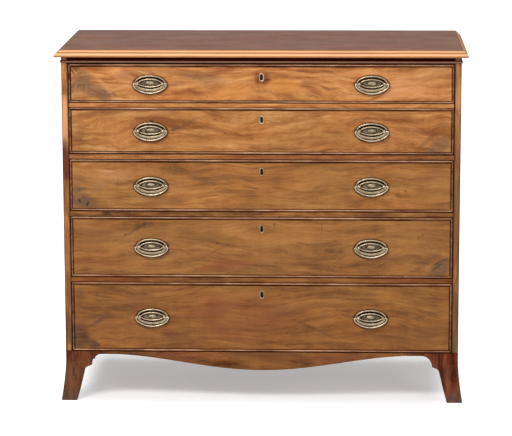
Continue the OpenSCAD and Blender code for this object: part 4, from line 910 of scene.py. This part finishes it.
def plate(x, y_wood, z):
    """Moulded back plate."""
    verts, hollow = [], []
    for *curve, out_up, deep_up, out_down, deep_down in PLATE_CURVES:
        for t in turn(AROUND):
            px, pz = oval(t, *curve)
            up = min(1.0, max(0.0, 0.5 + pz / 4.0))
            up = up * up * (3 - 2 * up)
            verts.append((x + px * MM, y_wood - (out_down + (out_up - out_down) * up) * MM, z + pz * MM))
            hollow.append(deep_down + (deep_up - deep_down) * up)
    count = len(PLATE_CURVES)
    shape = verts, rings_to_faces(count, AROUND), hollow
    close(shape, AROUND, (count - 1) * AROUND, (x, y_wood - 3.5 * MM, z), 0.0, False)
    close(shape, AROUND, 0, (x, y_wood, z), 1.0, True)
    return shape


def post(x, y_wood, z, depth):
    """Turned post with its ball, and the shank that holds it, which reaches depth mm into the front."""
    # The last number of each point is its darkness: patina, and painted shade at the post's foot and in the
    # neck under its ball
    profile = [(0, -depth, 0.8), (2.4, -depth, 0.8), (2.9, 0.6 - depth, 0.6), (2.9, 0.8, 0.9),
               (4.5, 1.0, 0.9), (4.8, 1.6, 0.3), (4.5, 2.3, 0.1), (3.5, 2.7, 0.6), (2.9, 3.4, 0.9),
               (3.0, 4.3, 0.8)]
    for k in range(10):
        a = math.radians(-46 + 13.6 * k)
        profile.append((5.0 * math.cos(a), EYE_OUT + 5.0 * math.sin(a), 0.35 if k == 0 else 0.0))
    profile.append((0, EYE_OUT + 5.0, 0.0))
    return lathe_y(x, y_wood, z, profile)


def bail_path():
    """Middle line of a bail and its radius, in mm from the middle of its axis: pin, corner, hanging bow."""
    half, sag, corner = 49.0, 28.5, 18.0
    side = half - corner
    radius = (sag * sag + side * side - corner * corner) / (2 * (sag - corner))
    centre = radius - sag
    spread = math.atan(side / centre)
    points = [(-33.4, 0.0, 1.3), (-33.8, 0.0, 1.62), (-40.0, 0.0, 1.62), (-44.0, 0.0, 1.62),
              (-45.4, 0.0, 1.75), (-46.6, -0.05, 2.1), (-47.9, -0.35, 2.35), (-48.7, -1.2, 2.35),
              (-48.85, -2.4, 2.2)]
    steps = 9
    first = math.asin(4.4 / corner)
    for k in range(steps):
        a = first + (math.pi / 2 - spread - first) * k / steps
        points.append((-side - corner * math.cos(a), -corner * math.sin(a), 2.0))
    ends = len(points)
    steps = 26
    for k in range(steps + 1):
        a = -spread + 2 * spread * k / steps
        swell = 0.38 * math.cos(math.pi * a / (2 * spread)) ** 1.5
        points.append((radius * math.sin(a), centre - radius * math.cos(a), 2.0 + swell))
    return points + [(-p[0], p[1], p[2]) for p in reversed(points[:ends])]


def tube(points, x, y, z, around=16):
    """Round wire along points (X, Z, radius) in the plane of Y, in mm from (x, y, z)."""
    verts, hollow = [], []
    for k, (px, pz, r) in enumerate(points):
        before, after = points[max(k - 1, 0)], points[min(k + 1, len(points) - 1)]
        dx, dz = after[0] - before[0], after[1] - before[1]
        size = math.hypot(dx, dz)
        nx, nz = -dz / size, dx / size
        for a in turn(around):
            c, s = r * math.cos(a), r * math.sin(a)
            verts.append((x + (px + nx * c) * MM, y + s * MM, z + (pz + nz * c) * MM))
            hollow.append(0.8 if abs(px) < 44 and abs(pz) < 0.01 else 0.0)
    faces = rings_to_faces(len(points), around)
    faces.append(tuple(range(around - 1, -1, -1)))
    last = (len(points) - 1) * around
    faces.append(tuple(range(last, last + around)))
    return verts, faces, hollow


def screw_head(x, y_face, z, radius, angle):
    """Countersunk screw on a face that looks along +Y, its slot turned by the angle, radius in mm."""
    verts, hollow = [], []
    around, rise = 20, 0.35
    for share, out, deep in ((1.0, 0.0, 0.9), (0.96, rise, 0.2), (0.5, rise * 1.5, 0.0)):
        for a in turn(around):
            verts.append((x + radius * share * MM * math.cos(a), y_face + out * MM,
                          z + radius * share * MM * math.sin(a)))
            hollow.append(deep)
    faces = [tuple(reversed(f)) for f in rings_to_faces(3, around)]
    faces.append(tuple(range(3 * around - 1, 2 * around - 1, -1)))
    faces.append(tuple(range(around)))
    half_l, half_w, top = radius * 0.86, radius * 0.11, rise * 1.5 + 0.03
    c, s = math.cos(angle), math.sin(angle)
    base = len(verts)
    # The slot is painted dark as shade
    for y in (rise, top):
        for u, v in ((-half_l, -half_w), (half_l, -half_w), (half_l, half_w), (-half_l, half_w)):
            verts.append((x + (u * c - v * s) * MM, y_face + y * MM, z + (u * s + v * c) * MM))
            hollow.append(1.0)
    for quad in ((0, 1, 2, 3), (7, 6, 5, 4), (0, 4, 5, 1), (1, 5, 6, 2), (2, 6, 7, 3), (3, 7, 4, 0)):
        faces.append(tuple(base + k for k in quad))
    return verts, faces, hollow


def handle(name, bail, body, shank):
    """Plate, posts and bail of one handle, at the axis of its CAD bail."""
    low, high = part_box(bail)
    x, y, _ = (low + high) / 2
    z = high.z - BAIL_RISE * MM
    y_wood = y + EYE_OUT * MM
    parts = [plate(x, y_wood, z)]
    parts += [post(x + side * POST_X * MM, y_wood, z, shank) for side in (-1, 1)]
    new_piece(name + "_plate", merge(parts), handle_brass, body)
    bow = new_piece(name + "_bow", tube(bail_path(), x, y, z), bail_brass_highlit, bail)
    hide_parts(bail)


def keyhole_point(t, length=16.0, bow=2.6, slot=1.6):
    """Place on the outline of a keyhole, in mm, that faces the angle t on an upright stadium round it."""
    quarter = min(3, int(t / (math.pi / 2)))
    share = t / (math.pi / 2) - quarter
    right = quarter in (0, 3)
    if quarter in (1, 3):
        share = 1 - share
    neck = length / 2 - bow - math.sqrt(bow * bow - slot * slot)
    if quarter < 2:
        if share < 0.3:
            x, z = slot, neck * share / 0.3
        else:
            start = -math.acos(slot / bow)
            a = start + (math.pi / 2 - start) * (share - 0.3) / 0.7
            x, z = bow * math.cos(a), length / 2 - bow + bow * math.sin(a)
    else:
        x, z = (slot, -length / 2 * share / 0.7) if share < 0.7 else (slot * (1 - share) / 0.3, -length / 2)
    return (x if right else -x), z


# Closed curves of an escutcheon from its back edge over the rim: radius of the round ends, height off the
# wood, in mm, and darkness: patina, with painted shade at the back edge and the inner lip
ESCUTCHEON_CURVES = [(7.7, -1.25, 1.0), (7.75, 0.1, 0.9), (7.55, 0.5, 0.3), (7.0, 0.8, 0.0),
                     (6.0, 0.8, 0.0), (5.4, 0.6, 0.0), (5.0, 0.3, 0.2), (4.4, 0.12, 0.6)]


def escutcheon(z, blind):
    """Rimmed plate let into the wood round a keyhole, its keyhole walls painted dark as shade. A blind one
    has a dark floor in its keyhole, painted shade of a deep hole.
    """
    around, rise = 64, 5.1
    verts, hollow = [], []
    for r, out, deep in ESCUTCHEON_CURVES:
        for t in turn(around):
            lift = rise if math.sin(t) >= 0 else -rise
            verts.append((KEY_X + r * MM * math.cos(t), CASE_FRONT - out * MM,
                          z + (r * math.sin(t) + lift) * MM))
            hollow.append(deep)
    for out in (0.12, -0.9 if blind else -1.25):
        for t in turn(around):
            px, pz = keyhole_point(t)
            verts.append((KEY_X + px * MM, CASE_FRONT - out * MM, z + pz * MM))
            hollow.append(1.0)
    count = len(ESCUTCHEON_CURVES) + 2
    faces = rings_to_faces(count, around)
    last = (count - 1) * around
    if blind:
        faces.append(tuple(range(last, last + around)))
        faces.append(tuple(range(around - 1, -1, -1)))
    else:
        for k in range(around):
            n = (k + 1) % around
            faces.append((last + k, last + n, n, k))
    return verts, faces, hollow


def lock_set(name, node, body, keyhole_material):
    """Locks and nuts as the CAD has them, screws that hold the locks, and rimmed escutcheons."""
    parts, plates = [], []
    for verts, faces in islands(node):
        xs, ys, zs = ([v[k] for v in verts] for k in range(3))
        centre, wide = (min(xs) + max(xs)) / 2, max(xs) - min(xs)
        in_middle = abs(centre) < 0.1
        if in_middle and wide < 0.02:
            plates.append((min(zs) + max(zs)) / 2)
        elif in_middle or (min(ys) > CASE_FRONT + 0.013 and max(ys) - min(ys) < 0.005):
            parts.append((verts, faces, [0.35] * len(verts)))
        if in_middle and wide > 0.05:
            for sx in (-1, 1):
                for sz, angle in ((0.18, 0.4), (0.82, 1.3)):
                    screw_x, screw_z = centre + sx * 0.41 * wide, min(zs) + sz * (max(zs) - min(zs))
                    parts.append(screw_head(screw_x, max(ys), screw_z, 3.0, angle + sx))
    piece = new_piece(name, merge(parts), lock_brass, body, smooth=False)
    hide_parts(node)
    plates.sort()
    shape = merge([escutcheon(z, len(plates) == 2 and k == 0) for k, z in enumerate(plates)])
    new_piece(name + "_escutcheons", shape, keyhole_material, body)


lock_set("fall_locks", "fall_fittings", "fall", keyhole_brass)
for place in ("upper_left", "upper_right", "lower_left", "lower_right"):
    handle(f"fall_handle_{place}", f"fall_bail_{place}", "fall", FALL_SHANK)
for drawer in DRAWERS:
    lock_set(f"{drawer}_drawer_lock", f"{drawer}_drawer_fittings", f"{drawer}_drawer", keyhole_dull)
    for side in ("left", "right"):
        handle(f"{drawer}_drawer_handle_{side}", f"{drawer}_drawer_bail_{side}", f"{drawer}_drawer",
               DRAWER_SHANK)


# Stage and lights

# How bright the white surroundings are in reflections, and as a light, as shares of how bright they look
MIRRORED, AMBIENT = 0.5, 0.30


def shown(net):
    """How bright the surroundings are along a ray."""
    ray = net.make("ShaderNodeLightPath").node.outputs
    return net.most(net.times(ray["Is Glossy Ray"], MIRRORED),
                    net.most(ray["Is Camera Ray"], ray["Is Transmission Ray"]))


def make_stage():
    """White floor that keeps the object's shadow under it, with a glow of painted light that rises outside
    the chest's footprint and paints the shadow out there, and a white world that lights less than it shows.
    """
    half = 40.0
    mesh = bpy.data.meshes.new("floor")
    corners = [(-half, -half, 0), (half, -half, 0), (half, half, 0), (-half, half, 0)]
    mesh.from_pydata(corners, [], [(0, 1, 2, 3)])
    floor = bpy.data.objects.new("floor", mesh)
    bpy.context.scene.collection.objects.link(floor)
    net = Net(bpy.data.materials.new("floor_white"))
    # The floor's glow is painted light: weak under the chest, full beyond it
    outside = net.vector("SUBTRACT", net.vector("ABSOLUTE", net.place()), (0.5, cad_box[1][1] - 0.02, 0))
    beyond = net.vector("MULTIPLY", net.vector("MAXIMUM", outside), (2.0, 1.1, 1))
    glow = net.span(net.vector("LENGTH", beyond, out=1), 0.0, 0.3, 0.37, 1.0)
    net.feed(net.shader, {"Base Color": (0.80, 0.80, 0.80, 1.0), "Roughness": 0.9,
                          "Specular IOR Level": 0.0, "Emission Color": (0.95, 0.967, 1.0, 1.0),
                          "Emission Strength": net.times(shown(net), glow)})
    mesh.materials.append(net.owner)

    bpy.context.scene.world = bpy.data.worlds.new("studio")
    net = Net(bpy.context.scene.world, "Background")
    strength = net.plus(net.times(shown(net), 1 - AMBIENT), AMBIENT)
    net.feed(net.shader, {"Color": (1.0, 1.0, 1.0, 1.0), "Strength": strength})


def area_light(name, place, target, size_x, size_y, power):
    data = bpy.data.lights.new(name, "AREA")
    data.shape = "RECTANGLE"
    data.size, data.size_y, data.energy = size_x, size_y, power
    light = bpy.data.objects.new(name, data)
    bpy.context.scene.collection.objects.link(light)
    light.location = place
    light.rotation_euler = (Vector(target) - Vector(place)).to_track_quat("-Z", "Y").to_euler()


make_stage()
area_light("key", (-1.5, -3.2, 3.9), (0, 0, 0.75), 2.2, 1.4, 158)
area_light("fill", (3.2, -3.2, 2.2), (0, 0, 0.6), 1.6, 1.6, 27)
area_light("sky", (0.2, 0.6, 4.4), (0, 0, 0), 3.0, 3.0, 68)

bpy.context.scene.view_settings.view_transform = "Standard"
